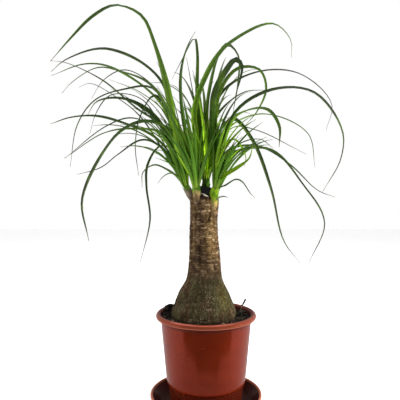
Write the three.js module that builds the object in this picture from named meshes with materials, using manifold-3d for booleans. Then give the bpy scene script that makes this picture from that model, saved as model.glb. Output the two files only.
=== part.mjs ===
// A ponytail palm in a nursery pot: a swollen, corky trunk whose cut top carries four heads of long
// arching strap leaves. The pot is filled with soil and stands on a saucer.
// Millimetres, +Z up. The origin is the centre of the saucer's underside, the front is -Y and the
// right is +X.
import * as THREE from "three";
import { mergeVertices } from "three/addons/utils/BufferGeometryUtils.js";
import Module from "manifold-3d";

const wasm = await Module();
wasm.setup();

// Clearance between pieces that touch.
const GAP = 0.3;
// Slivers narrower than this are left out where solids join.
const SLIVER = 0.05;

// Saucer
const SAUCER_LIP_RADIUS = 95;
const SAUCER_HEIGHT = 23;
const SAUCER_BASE_RADIUS = 79;
const SAUCER_WALL = 2.2;
const SAUCER_FLOOR = 2.6;
const SAUCER_LIP = 4;

// Pot
const POT_BOTTOM = SAUCER_FLOOR + GAP;
const RIM_RADIUS = 86;
const RIM_ROLL = 4.8;
const RIM_CENTRE = 154.7;
const POT_WALL = 2.2;
const POT_FLOOR = 2.6;
const POT_TOP_RADIUS = 78.1;
const RIM_UNDERSIDE = 2.8;
const POT_TAPER = 0.095;
const FOOT_TOP = 41;
const FOOT_STEP = 3;
const FOOT_BOTTOM_RADIUS = 60;
const DRAIN_HOLES = 6;
const DRAIN_RADIUS = 5;
const DRAIN_CIRCLE = 42;
const DRAIN_SIDES = 10;
const ROUND_SIDES = 40;

// Soil
const SOIL_TOP = 151;
const SOIL_RINGS = 5;
const SOIL_LUMP = 1.4;
const SOIL_INNER_RADIUS = 47;
const SOIL_MOUND = { x: -62, y: 18, height: 13, spread: 11 };
const TWIG = { foot: [60, 29, 150], lean: [11, 1.5, 25.5], sunk: 6, radius: 0.9 };

// Trunk: height, radius and sideways place of its axis at each height.
const TRUNK_PROFILE = [
  [112, 34, -4],
  [122, 47, -4],
  [136, 54, -4],
  [152, 56, -4],
  [165, 54.5, -4],
  [176, 50, -4],
  [190, 44.5, -4],
  [200, 39.5, -3.6],
  [210, 34, -3],
  [220, 30.6, -2.4],
  [232, 28.8, -2],
  [252, 27, -2.4],
  [275, 25, -3.2],
  [300, 24.1, -3.6],
  [325, 23.8, -3.8],
  [343, 24.8, -3.4],
  [352, 25.2, -3.2],
];
const TRUNK_SIDES = 30;
const TRUNK_RINGS = 20;
const TRUNK_BOTTOM = 109;
const BARK_RIBS = 0.5;
const BARK_LUMPS = 0.5;
// The cut top: its radius, the place of the trunk's axis there, and the height and tilt of the cut.
const TOP_RADIUS = 23;
const AXIS_X = -3;
const CUT_HEIGHT = 369;
const CUT_TILT = THREE.MathUtils.degToRad(23);
const CUT_BEARING = THREE.MathUtils.degToRad(105);

// Leaves
const BLADE_THICKNESS = 1.3;
const CHANNEL_DEPTH = 0.15;
const LEAST_WIDTH = 1.8;
const TAPER = 2.1;
const TURN_START = 0.08;
const LAUNCH_LENGTH = 24;
const ROOT_SINK = 5;
const ROOT_DROP = 8;
const ROOT_SPREAD = 5;
const TRACED_STEPS = 56;
const RULE_STEPS = 28;
const GOLDEN = (Math.sqrt(5) - 1) / 2;
// A blade has a section for each stretch of this length, counting a bend of one radian as BEND_LENGTH.
const SECTION_STEP = 70;
const FEWEST_SECTIONS = 3;
const MOST_SECTIONS = 10;
const BEND_LENGTH = 50;
const NECK_SIDES = 10;
const SECTOR_ROUNDING = 3;
const SECTOR_MARGIN = 1;

// The four heads. Each keeps its leaves inside its own sector round the trunk, so that no leaf
// crosses one of another head: bearings in degrees, 0 to the right and 90 to the back.
const HEADS = {
  left: { base: [-20, -2, 350], top: [-35, -3, 376], radius: 7.4, sector: [126, 211] },
  middle: { base: [-14, -15, 342], top: [-17, -19, 379], radius: 7.6, sector: [211, 278] },
  right: { base: [11, -12, 336], top: [15, -17, 375], radius: 8.2, sector: [278, 373] },
  back: { base: [-2, 15, 344], top: [1, 21, 391], radius: 8, sector: [13, 126] },
};

// The place that the plant is looked at from. A traced leaf's points are written as they appear
// from there: to the right of the pot's axis, and above the ground, on the plane of that axis.
const EYE = new THREE.Vector3(-10.3, -758, 352);

// Traced leaves of each head: how far behind (+) or before (-) the axis the tip is, the width, the
// turn of the blade about its own line at the root and at the tip, and the points after the root. A
// leaf with a `hold` keeps its width further along than TAPER says, and one with a `launch` rises
// from its shoot for that length instead of LAUNCH_LENGTH.
const TRACED = {
  left: [
    { depth: -60, width: 10, turn: [5, 35], via: [[-79, 558], [-170, 612], [-241, 594], [-267, 573]] },
    { depth: 20, width: 8, turn: [20, 40], via: [[-76, 514], [-163, 580], [-210, 586], [-267, 566]] },
    { depth: 110, width: 7, turn: [30, 0], via: [[-80, 535], [-138, 576], [-176, 559], [-197, 527]] },
    {
      depth: 60, width: 8, turn: [35, 10],
      via: [[-68, 472], [-117, 507], [-180, 559], [-243, 589], [-268, 592]],
    },
    {
      depth: -100, width: 9, turn: [45, 20], hold: 4,
      via: [[-75, 490], [-131, 526], [-187, 522], [-203, 500]],
    },
    {
      depth: 0, width: 8, turn: [25, -10],
      via: [[-89, 542], [-142, 542], [-191, 524], [-222, 480], [-234, 409]],
    },
    {
      depth: -40, width: 6.5, turn: [30, 20], hold: 6,
      via: [[-64, 433], [-92, 462], [-137, 482], [-188, 496], [-233, 494], [-268, 483]],
    },
    { depth: 90, width: 6, turn: [20, 0], via: [[-92, 478], [-130, 493], [-175, 477], [-243, 424]] },
    { depth: -80, width: 8, turn: [25, -10], via: [[-80, 467], [-120, 474], [-174, 468], [-244, 424]] },
    {
      depth: -50, width: 8, turn: [30, 0],
      via: [[-79, 443], [-109, 455], [-152, 430], [-181, 408], [-222, 396]],
    },
    {
      depth: 30, width: 6, turn: [10, 40],
      via: [[-60, 440], [-79, 444], [-100, 412], [-102, 376], [-96, 318], [-113, 245]],
    },
    { depth: -30, width: 7, turn: [20, 0], via: [[-48, 391], [-87, 412], [-108, 400], [-110, 374]] },
    { depth: -20, width: 5, turn: [20, 0], via: [[-53, 409], [-71, 419], [-87, 425]] },
    { depth: 20, width: 4.5, turn: [20, 0], via: [[-60, 398], [-74, 392], [-83, 381]] },
    { depth: 80, width: 6, turn: [10, 0], via: [[-70, 500], [-114, 538], [-167, 560]] },
    { depth: 150, width: 7, turn: [30, 0], via: [[-114, 496], [-150, 526], [-200, 553], [-219, 546]] },
    { depth: 170, width: 6, turn: [30, 0], via: [[-110, 525], [-165, 532], [-190, 500], [-200, 466]] },
  ],
  middle: [
    {
      depth: -165, width: 14.5, turn: [85, -85], hold: 1.6,
      via: [
        [-46, 438], [-70, 551], [-90, 619], [-109, 665], [-133, 682], [-157, 687], [-195, 668],
        [-233, 631], [-268, 591],
      ],
    },
    {
      depth: -130, width: 8, turn: [-20, 100], hold: 4,
      via: [[-62, 470], [-103, 486], [-148, 470], [-182, 431], [-214, 357], [-202, 282]],
    },
    {
      depth: -90, width: 8, turn: [40, 10],
      via: [[-60, 500], [-89, 531], [-112, 500], [-122, 447], [-116, 394]],
    },
    {
      depth: -150, width: 7, turn: [25, 0],
      via: [[-90, 545], [-150, 574], [-187, 580], [-231, 555], [-248, 536]],
    },
    { depth: -40, width: 9, turn: [45, 30], via: [[-43, 524], [-42, 580], [-29, 623], [-18, 642]] },
  ],
  right: [
    {
      depth: -40, width: 11.5, turn: [-60, -60], hold: 5,
      via: [[9, 522], [36, 579], [50, 594], [60, 585], [58, 560], [50, 530]],
    },
    {
      depth: -25, width: 10, turn: [55, 50], hold: 2.6,
      via: [[22, 529], [54, 577], [91, 576], [103, 545], [89, 507], [67, 480]],
    },
    {
      depth: -60, width: 10.5, turn: [60, 15],
      via: [[49, 499], [115, 541], [185, 537], [234, 472], [232, 423], [201, 366]],
    },
    {
      depth: -110, width: 7, turn: [-25, 60], hold: 6,
      via: [[53, 496], [104, 508], [126, 480], [126, 443]],
    },
    {
      depth: -70, width: 8, turn: [55, 40],
      via: [[25, 470], [47, 491], [80, 454], [112, 370], [133, 283], [163, 242]],
    },
    {
      depth: 10, width: 9, turn: [30, 20],
      via: [[40, 437], [92, 443], [143, 414], [192, 369], [222, 357]],
    },
    {
      depth: -30, width: 9, turn: [40, 20],
      via: [[45, 430], [110, 438], [167, 378], [204, 313], [177, 243]],
    },
    { depth: -80, width: 6, turn: [20, 0], via: [[50, 443], [92, 457], [116, 441]] },
    { depth: -60, width: 10, turn: [80, 60], via: [[23, 390], [54, 407], [75, 424], [80, 447]] },
    { depth: -30, width: 9, turn: [30, 30], via: [[30, 442], [48, 456], [68, 427], [66, 410]] },
    {
      depth: -30, width: 5.5, turn: [20, 20], launch: 8,
      via: [[34, 377], [51, 387], [62, 383], [76, 364], [84, 356]],
    },
    { depth: 0, width: 7, turn: [60, 40], via: [[26, 386], [32, 396], [34, 407]] },
  ],
  back: [
    { depth: 165, width: 7, turn: [40, 30], via: [[-34, 525], [-70, 552], [-105, 554]] },
    {
      depth: 110, width: 8, turn: [-35, -35], hold: 2.6,
      via: [[-15, 524], [-15, 608], [-20, 631], [-38, 600], [-59, 560]],
    },
    { depth: 70, width: 5, turn: [30, 0], via: [[-21, 524], [-34, 598]] },
    {
      depth: 80, width: 11.5, turn: [75, 60], hold: 2,
      via: [[-25, 481], [-17, 524], [-5, 555], [16, 595], [42, 623], [115, 656], [146, 628], [147, 598]],
    },
    {
      depth: 115, width: 9.5, turn: [75, 100], hold: 3,
      via: [[-1, 507], [24, 610], [37, 620], [55, 600], [55, 558], [45, 493]],
    },
    {
      depth: 95, width: 8, turn: [40, 30],
      via: [[23, 530], [88, 572], [163, 569], [217, 517], [207, 472]],
    },
    { depth: 130, width: 7, turn: [20, 0], via: [[45, 480], [103, 500], [176, 466], [188, 408]] },
    { depth: 100, width: 8, turn: [40, 10], via: [[16, 491], [65, 537], [112, 542]] },
    { depth: 80, width: 5, turn: [10, 0], via: [[45, 476], [85, 473], [173, 431]] },
  ],
};

// Leaves placed by rule: how many each head has, the bearings that they lean to, the span of their
// length, how far from upright they start and end, and the width.
const FILL = {
  left: {
    count: 9, bearing: [130, 168], length: [130, 270], start: [6, 34], end: [60, 120], width: [5, 8],
  },
  middle: {
    count: 14, bearing: [214, 276], length: [90, 190], start: [3, 26], end: [25, 95], width: [6, 9],
  },
  right: {
    count: 15, bearing: [284, 354], length: [80, 160], start: [3, 26], end: [40, 105], width: [6, 9],
  },
  back: {
    count: 30, bearing: [56, 122], length: [150, 330], start: [4, 36], end: [45, 115], width: [5, 9],
  },
};
const FILL_SEED = 20117;

const rad = THREE.MathUtils.degToRad;
const lerp = THREE.MathUtils.lerp;

// Seeded random numbers from 0 to 1 (Park and Miller's generator).
function randomFrom(seed) {
  let state = seed;
  return () => {
    state = (state * 16807) % 2147483647;
    return state / 2147483647;
  };
}

// Solids

function solidOf(geometry) {
  const bare = geometry.clone();
  bare.deleteAttribute("normal");
  bare.deleteAttribute("uv");
  const merged = mergeVertices(bare, 1e-3);
  const mesh = new wasm.Mesh({
    numProp: 3,
    vertProperties: new Float32Array(merged.attributes.position.array),
    triVerts: new Uint32Array(merged.index.array),
  });
  return new wasm.Manifold(mesh);
}

function geometryOf(solid) {
  const mesh = solid.getMesh();
  const geometry = new THREE.BufferGeometry();
  geometry.setAttribute("position", new THREE.BufferAttribute(mesh.vertProperties, 3));
  geometry.setIndex(new THREE.BufferAttribute(mesh.triVerts, 1));
  geometry.computeVertexNormals();
  return geometry;
}

// The outer skin of joined solids, without its slivers, and with any pocket sealed inside it filled.
function skinOf(solid) {
  let whole = solid.simplify(SLIVER);
  let skins = whole.decompose();
  do {
    const outer = skins.reduce((most, skin) => (skin.volume() > most.volume() ? skin : most));
    whole = solidOf(geometryOf(outer));
    skins = whole.decompose();
  } while (skins.length > 1);
  return geometryOf(whole);
}

function geometryFrom(points, triangles) {
  const geometry = new THREE.BufferGeometry();
  geometry.setAttribute("position", new THREE.Float32BufferAttribute(points.flat(), 3));
  geometry.setIndex(triangles.flat());
  return geometry;
}

// Turns an outline of [radius, height] pairs about the Z axis.
function turned(outline, sides = ROUND_SIDES) {
  const profile = outline.map(([r, z]) => new THREE.Vector2(r, z));
  return new THREE.LatheGeometry(profile, sides).rotateX(Math.PI / 2);
}

function arc(r, z, radius, from, to, steps) {
  return Array.from({ length: steps + 1 }, (_, i) => {
    const a = rad(lerp(from, to, i / steps));
    return [r + radius * Math.cos(a), z + radius * Math.sin(a)];
  });
}

// A stack of closed rings with a point at each end, as one closed skin.
function ringStack(rings, bottom, top) {
  const sides = rings[0].length;
  const points = [...rings.flat(), bottom, top];
  const triangles = [];
  const last = (rings.length - 1) * sides;
  for (let j = 0; j < sides; j++) {
    const k = (j + 1) % sides;
    for (let i = 0; i < rings.length - 1; i++) {
      const low = i * sides;
      const high = low + sides;
      triangles.push([low + j, low + k, high + k], [low + j, high + k, high + j]);
    }
    triangles.push([points.length - 2, k, j]);
    triangles.push([points.length - 1, last + j, last + k]);
  }
  return geometryFrom(points, triangles);
}

// Saucer and pot

function saucerGeometry() {
  const lipTop = SAUCER_HEIGHT;
  const outline = [
    [0, 0],
    [SAUCER_BASE_RADIUS - 2, 0],
    [SAUCER_BASE_RADIUS, 1.6],
    [SAUCER_LIP_RADIUS - SAUCER_WALL, lipTop - SAUCER_LIP],
    [SAUCER_LIP_RADIUS, lipTop - SAUCER_LIP + 0.6],
    [SAUCER_LIP_RADIUS, lipTop - 1],
    [SAUCER_LIP_RADIUS - 1.2, lipTop],
    [SAUCER_LIP_RADIUS - 3, lipTop],
    [SAUCER_LIP_RADIUS - SAUCER_WALL * 2, lipTop - 1.6],
    [SAUCER_BASE_RADIUS - SAUCER_WALL + 1.5, SAUCER_FLOOR + 3],
    [SAUCER_BASE_RADIUS - SAUCER_WALL - 3, SAUCER_FLOOR],
    [0, SAUCER_FLOOR],
  ];
  return turned(outline);
}

function potRadius(z) {
  return POT_TOP_RADIUS - POT_TAPER * (RIM_CENTRE - z);
}

const footTopRadius = potRadius(FOOT_TOP) - FOOT_STEP;
const potFloorTop = POT_BOTTOM + POT_FLOOR;

// The pot's inner wall, from the top of the foot up.
function insideRadius(z) {
  const share = (z - FOOT_TOP) / (RIM_CENTRE - FOOT_TOP);
  return lerp(footTopRadius, POT_TOP_RADIUS, share) - POT_WALL;
}

function potSolid() {
  const underRoll = RIM_CENTRE - RIM_UNDERSIDE;
  const outline = [
    [0, POT_BOTTOM],
    [FOOT_BOTTOM_RADIUS - 2, POT_BOTTOM],
    [FOOT_BOTTOM_RADIUS, POT_BOTTOM + 2],
    [footTopRadius, FOOT_TOP],
    [potRadius(FOOT_TOP), FOOT_TOP + 1.6],
    [potRadius(underRoll), underRoll],
    ...arc(RIM_RADIUS - RIM_ROLL, RIM_CENTRE, RIM_ROLL, -34, 170, 8),
    [insideRadius(RIM_CENTRE - RIM_ROLL), RIM_CENTRE - RIM_ROLL],
    [insideRadius(FOOT_TOP), FOOT_TOP],
    [FOOT_BOTTOM_RADIUS - POT_WALL, potFloorTop],
    [0, potFloorTop],
  ];
  let pot = solidOf(turned(outline));
  for (let i = 0; i < DRAIN_HOLES; i++) {
    const bearing = (i / DRAIN_HOLES) * 2 * Math.PI;
    const drill = new THREE.CylinderGeometry(DRAIN_RADIUS, DRAIN_RADIUS, POT_FLOOR * 4, DRAIN_SIDES)
      .rotateX(Math.PI / 2)
      .translate(DRAIN_CIRCLE * Math.cos(bearing), DRAIN_CIRCLE * Math.sin(bearing), POT_BOTTOM);
    pot = pot.subtract(solidOf(drill));
  }
  return pot;
}

// Trunk

// Height, radius and axis place between the rows of the profile, as a smooth line.
const trunkLine = new THREE.CatmullRomCurve3(
  TRUNK_PROFILE.map(([z, radius, x]) => new THREE.Vector3(radius, x, z)),
);

function cutHeight(x, y) {
  const along = (x - AXIS_X) * Math.cos(CUT_BEARING) + y * Math.sin(CUT_BEARING);
  return CUT_HEIGHT + Math.tan(CUT_TILT) * along;
}

// Corky ribs that run up the trunk, and broad lumps.
function barkRelief(bearing, z) {
  const ribs = Math.sin(bearing * 9 + 0.9 * Math.sin(z / 31)) + 0.6 * Math.sin(bearing * 14 + z / 19);
  const lumps = Math.sin(bearing * 3 + z / 23) + Math.sin(bearing * 5 - z / 15);
  return BARK_RIBS * ribs + BARK_LUMPS * lumps;
}

// One ring of the trunk's skin: `axis` and `radius` place it, and `height` gives each point's height.
function trunkRing(axis, radius, share, height) {
  return Array.from({ length: TRUNK_SIDES }, (_, j) => {
    const bearing = (j / TRUNK_SIDES) * 2 * Math.PI;
    const r = (radius + barkRelief(bearing, height(axis, 0))) * share;
    const x = axis + r * Math.cos(bearing);
    const y = r * Math.sin(bearing);
    return [x, y, height(x, y)];
  });
}

function trunkGeometry(clearance = 0) {
  const rings = [];
  for (let i = 0; i < TRUNK_RINGS; i++) {
    const { x: radius, y: axis, z } = trunkLine.getPoint(i / (TRUNK_RINGS - 1));
    rings.push(trunkRing(axis, radius + clearance, 1, () => z));
  }
  rings.push(trunkRing(AXIS_X, TOP_RADIUS + clearance, 0.97, (x, y) => cutHeight(x, y) - 1.2));
  rings.push(trunkRing(AXIS_X, TOP_RADIUS + clearance, 0.72, (x, y) => cutHeight(x, y) + 0.8));
  const [, , lowestAxis] = TRUNK_PROFILE[0];
  return ringStack(rings, [lowestAxis, 0, TRUNK_BOTTOM - clearance], [AXIS_X, 0, CUT_HEIGHT + 0.5]);
}

// Soil

function soilHeight(x, y) {
  const lumps = Math.sin(x / 5.3 + 1.3) * Math.sin(y / 6.1) + 0.6 * Math.sin(x / 3.1 - y / 4.3);
  const { x: mx, y: my, height, spread } = SOIL_MOUND;
  const mound = height * Math.exp(-((x - mx) ** 2 + (y - my) ** 2) / (2 * spread ** 2));
  return SOIL_TOP + SOIL_LUMP * lumps + mound;
}

function circle(radius, z) {
  return Array.from({ length: ROUND_SIDES }, (_, j) => {
    const a = (j / ROUND_SIDES) * 2 * Math.PI;
    return [radius * Math.cos(a), radius * Math.sin(a), z];
  });
}

function soilSolid(trunk, twigHole) {
  const bottom = potFloorTop + GAP;
  const edgeHeight = SOIL_TOP - SOIL_LUMP * 2;
  const edge = insideRadius(edgeHeight) - GAP;
  const rings = [
    circle(FOOT_BOTTOM_RADIUS - POT_WALL - GAP, bottom),
    circle(insideRadius(FOOT_TOP) - GAP, FOOT_TOP),
    circle(edge, edgeHeight),
  ];
  for (let i = 0; i < SOIL_RINGS; i++) {
    const radius = lerp(edge, SOIL_INNER_RADIUS, i / (SOIL_RINGS - 1));
    rings.push(circle(radius, 0).map(([x, y]) => [x, y, soilHeight(x, y)]));
  }
  const heap = solidOf(ringStack(rings, [0, 0, bottom], [0, 0, SOIL_TOP]));
  return heap.subtract(trunk).subtract(twigHole);
}

function twigGeometry(clearance = 0) {
  const foot = new THREE.Vector3(...TWIG.foot);
  const lean = new THREE.Vector3(...TWIG.lean);
  const ahead = lean.clone().normalize();
  const facing = new THREE.Quaternion().setFromUnitVectors(new THREE.Vector3(0, 0, 1), ahead);
  const end = foot.clone().add(lean);
  const start = foot.clone().addScaledVector(ahead, -TWIG.sunk - clearance);
  const radius = TWIG.radius + clearance;
  const middle = start.clone().lerp(end, 0.5);
  return new THREE.CylinderGeometry(radius * 0.6, radius, start.distanceTo(end), 6)
    .rotateX(Math.PI / 2)
    .applyQuaternion(facing)
    .translate(middle.x, middle.y, middle.z);
}

// Leaves

// Keeps a point inside a head's sector, at least `margin` from the planes that bound it.
function keepInSector(point, sector, margin) {
  const walls = [
    { angle: rad(sector[0]), side: 1 },
    { angle: rad(sector[1]), side: -1 },
  ];
  for (let round = 0; round < 3; round++) {
    for (const { angle, side } of walls) {
      const nx = -Math.sin(angle) * side;
      const ny = Math.cos(angle) * side;
      const distance = (point.x - AXIS_X) * nx + point.y * ny;
      const kept = (distance + margin + Math.hypot(distance - margin, SECTOR_ROUNDING)) / 2;
      point.x += (kept - distance) * nx;
      point.y += (kept - distance) * ny;
    }
  }
  return point;
}

// Width of a leaf at a share of its length: narrower at the foot, and drawn out to a fine tip. The
// higher `hold` is, the further along the leaf keeps its width.
function leafWidth(width, share, hold = TAPER) {
  const foot = 0.55 + 0.45 * Math.sin(Math.min(share / 0.28, 1) * (Math.PI / 2));
  return width * foot * Math.pow(1 - Math.pow(share, hold), 0.9);
}

// Where a leaf grows from its head: the young ones (age 0) stand in the middle of the shoot, and
// the old ones (age 1) lower down, on the side that they lean to.
function rootOf(head, age, bearing) {
  const top = new THREE.Vector3(...head.top);
  const base = new THREE.Vector3(...head.base);
  const up = top.clone().sub(base).normalize();
  const root = top.clone().addScaledVector(up, -ROOT_SINK - ROOT_DROP * age);
  root.x += ROOT_SPREAD * age * Math.cos(bearing);
  root.y += ROOT_SPREAD * age * Math.sin(bearing);
  return { root, up };
}

// The line of a traced leaf: its points are carried along their sight lines to their depths.
function tracedLine(leaf, head, age) {
  const tip = leaf.via[leaf.via.length - 1];
  const bearing = Math.atan2(leaf.depth - head.top[1], tip[0] - head.top[0]);
  const { root, up } = rootOf(head, age, bearing);
  const flat = leaf.via.map(([x, z]) => new THREE.Vector3(x, 0, z));
  const flatRoot = new THREE.Vector3(root.x, 0, root.z);
  const lengths = flat.map((p, i) => p.distanceTo(i ? flat[i - 1] : flatRoot));
  const total = lengths.reduce((a, b) => a + b, 0);
  let run = 0;
  const carried = flat.map((p, i) => {
    run += lengths[i];
    const depth = lerp(root.y, leaf.depth, run / total);
    return EYE.clone().addScaledVector(p.clone().sub(EYE), (depth - EYE.y) / -EYE.y);
  });
  const toward = carried[0].clone().sub(root).normalize();
  const rise = leaf.launch ?? LAUNCH_LENGTH;
  const launch = root.clone().addScaledVector(up.clone().add(toward).normalize(), rise);
  const curve = new THREE.CatmullRomCurve3([root, launch, ...carried], false, "centripetal");
  return curve.getPoints(TRACED_STEPS);
}

// The line of a leaf placed by rule: it leans over more and more towards its tip.
function fillLine(rule, head, age, draw, bearing) {
  const { root } = rootOf(head, age, bearing);
  const length = lerp(rule.length[0], rule.length[1], draw());
  const start = rad(lerp(rule.start[0], rule.start[1], age) + 6 * (draw() - 0.5));
  const end = rad(lerp(rule.end[0], rule.end[1], 0.5 * age + 0.5 * draw()));
  const bend = lerp(1.1, 1.9, draw());
  const swing = rad(30) * (draw() - 0.5);
  const points = [root.clone()];
  const step = length / RULE_STEPS;
  for (let i = 0; i < RULE_STEPS; i++) {
    const share = (i + 0.5) / RULE_STEPS;
    const lean = start + (end - start) * Math.pow(share, bend);
    const heading = bearing + swing * share * share;
    const last = points[points.length - 1];
    points.push(
      new THREE.Vector3(
        last.x + step * Math.sin(lean) * Math.cos(heading),
        last.y + step * Math.sin(lean) * Math.sin(heading),
        last.z + step * Math.cos(lean),
      ),
    );
  }
  return points;
}

// Places along a line for a blade's sections, closer together where it bends, each with its share
// of the line's length.
function sectionsOf(line) {
  const run = [0];
  const effort = [0];
  for (let i = 1; i < line.length; i++) {
    const step = line[i].distanceTo(line[i - 1]);
    const ahead = line[i].clone().sub(line[i - 1]);
    const bend = i > 1 ? ahead.angleTo(line[i - 1].clone().sub(line[i - 2])) : 0;
    run.push(run[i - 1] + step);
    effort.push(effort[i - 1] + step + BEND_LENGTH * bend);
  }
  const length = run[run.length - 1];
  const wanted = Math.round(length / SECTION_STEP);
  const count = THREE.MathUtils.clamp(wanted, FEWEST_SECTIONS, MOST_SECTIONS);
  let i = 1;
  return Array.from({ length: count + 1 }, (_, k) => {
    const target = (effort[effort.length - 1] * k) / count;
    while (i < line.length - 1 && effort[i] < target) i++;
    const t = Math.min((target - effort[i - 1]) / (effort[i] - effort[i - 1]), 1);
    return { centre: line[i - 1].clone().lerp(line[i], t), share: lerp(run[i - 1], run[i], t) / length };
  });
}

// A thin blade that follows a line and ends in a point. Its section is a shallow channel, and both
// of its faces are split alike, so that they stay apart where it twists.
function bladeSolid({ line, width, turn, hold }) {
  const sections = sectionsOf(line);
  const out = line[line.length - 1].clone().sub(line[0]).setZ(0).normalize();
  const across = new THREE.Vector3(0, 0, 1).cross(out);
  const points = [];
  sections.slice(0, -1).forEach(({ centre, share }, i) => {
    const before = sections[Math.max(i - 1, 0)].centre;
    const ahead = sections[i + 1].centre.clone().sub(before).normalize();
    const side = across.clone().addScaledVector(ahead, -across.dot(ahead)).normalize();
    side.applyAxisAngle(ahead, rad(lerp(turn[0], turn[1], share)) * Math.min(share / TURN_START, 1));
    const up = ahead.clone().cross(side);
    const half = Math.max(leafWidth(width, share, hold), LEAST_WIDTH) / 2;
    const rise = half * 2 * CHANNEL_DEPTH;
    const place = (s, u) => centre.clone().addScaledVector(side, s).addScaledVector(up, u).toArray();
    const thick = Math.min(BLADE_THICKNESS, half);
    points.push(place(half, rise), place(0, 0), place(-half, rise), place(0, -thick));
  });
  points.push(sections[sections.length - 1].centre.toArray());
  const last = (sections.length - 2) * 4;
  const triangles = [
    [0, 3, 1],
    [1, 3, 2],
  ];
  for (let j = 0; j < 4; j++) {
    for (let low = 0; low < last; low += 4) {
      const a = low + j;
      const b = low + ((j + 1) % 4);
      if (j % 2) triangles.push([a, b, a + 4], [b, b + 4, a + 4]);
      else triangles.push([a, b, b + 4], [a, b + 4, a + 4]);
    }
    triangles.push([last + j, last + ((j + 1) % 4), last + 4]);
  }
  return solidOf(geometryFrom(points, triangles));
}

// Every leaf of a head, as its line, width, turn and hold.
function leavesOf(name, order) {
  const head = HEADS[name];
  const rule = FILL[name];
  const draw = randomFrom(FILL_SEED + order);
  const leaves = TRACED[name].map((leaf, i) => ({
    line: tracedLine(leaf, head, (i * GOLDEN + 0.5) % 1),
    width: leaf.width,
    turn: leaf.turn,
    hold: leaf.hold,
  }));
  for (let i = 0; i < rule.count; i++) {
    const bearing = rad(lerp(rule.bearing[0], rule.bearing[1], (i * GOLDEN + 0.3) % 1));
    const line = fillLine(rule, head, (i + 0.5) / rule.count, draw, bearing);
    const width = lerp(rule.width[0], rule.width[1], draw());
    const turn = [60 * (draw() - 0.5), 90 * (draw() - 0.5)];
    leaves.push({ line, width, turn });
  }
  for (const leaf of leaves) {
    const last = leaf.line.length - 1;
    leaf.line.forEach((point, i) => {
      const half = leafWidth(leaf.width, i / last, leaf.hold) / 2;
      keepInSector(point, head.sector, half + SECTOR_MARGIN);
    });
  }
  return leaves;
}

// The short stem that a head's leaves grow from.
function neckSolid(head, clearance = 0) {
  const base = new THREE.Vector3(...head.base);
  const top = new THREE.Vector3(...head.top);
  const up = top.clone().sub(base);
  const length = up.length();
  const r = head.radius + clearance;
  const outline = [
    [0, -clearance],
    [r * 0.8, -clearance],
    [r, length * 0.3],
    [r * 0.98, length * 0.75],
    [r * 0.7, length + clearance],
    [0, length + 2 + clearance],
  ];
  const facing = new THREE.Quaternion().setFromUnitVectors(new THREE.Vector3(0, 0, 1), up.normalize());
  return solidOf(turned(outline, NECK_SIDES).applyQuaternion(facing).translate(...head.base));
}

function headSolid(name, order) {
  return wasm.Manifold.union([neckSolid(HEADS[name]), ...leavesOf(name, order).map(bladeSolid)]);
}

// Assembly

function material(color, roughness) {
  return new THREE.MeshStandardMaterial({ color, roughness, metalness: 0 });
}

const plastic = material(0x8e3a22, 0.35);
const saucerPlastic = material(0x7a2f1c, 0.4);
const peat = material(0x241c14, 0.95);
const bark = material(0x6e573c, 0.9);
const dryWood = material(0x3a2a1d, 0.85);
const leafGreen = material(0x3f7d1c, 0.5);

const plant = new THREE.Group();

function add(name, geometry, finish) {
  const mesh = new THREE.Mesh(geometry, finish);
  mesh.name = name;
  plant.add(mesh);
}

let trunk = solidOf(trunkGeometry());
for (const head of Object.values(HEADS)) trunk = trunk.subtract(neckSolid(head, GAP));

add("saucer", saucerGeometry(), saucerPlastic);
add("pot", geometryOf(potSolid()), plastic);
add("soil", geometryOf(soilSolid(solidOf(trunkGeometry(GAP)), solidOf(twigGeometry(GAP)))), peat);
add("twig", twigGeometry(), dryWood);
add("trunk", geometryOf(trunk), bark);
Object.keys(HEADS).forEach((name, order) => {
  add(`head_${name}`, skinOf(headSolid(name, order)), leafGreen);
});

export default plant;
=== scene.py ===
# A potted ponytail palm: a glossy nursery pot on its saucer, soil with crumbs, a corky trunk with a
# sealed cut top, and four heads of long arching leaves. Sizes are in millimetres, and MM turns them
# into metres. The front is -Y and the right is +X.
import math
from collections import namedtuple

import bpy
import numpy as np
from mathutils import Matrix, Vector


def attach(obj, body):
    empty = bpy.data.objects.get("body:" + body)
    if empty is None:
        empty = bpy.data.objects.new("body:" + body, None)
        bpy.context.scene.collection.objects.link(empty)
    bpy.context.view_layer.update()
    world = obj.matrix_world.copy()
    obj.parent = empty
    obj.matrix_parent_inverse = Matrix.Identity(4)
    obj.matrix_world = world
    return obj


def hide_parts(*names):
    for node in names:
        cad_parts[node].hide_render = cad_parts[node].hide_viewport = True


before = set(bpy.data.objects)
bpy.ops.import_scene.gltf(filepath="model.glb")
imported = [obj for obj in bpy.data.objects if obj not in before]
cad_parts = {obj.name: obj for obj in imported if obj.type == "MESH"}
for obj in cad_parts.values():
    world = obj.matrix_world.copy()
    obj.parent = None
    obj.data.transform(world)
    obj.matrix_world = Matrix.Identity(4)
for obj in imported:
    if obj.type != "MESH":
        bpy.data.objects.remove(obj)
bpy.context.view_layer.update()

MM = 0.001
TAU = 2 * math.pi
GOLDEN = (math.sqrt(5) - 1) / 2

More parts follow.
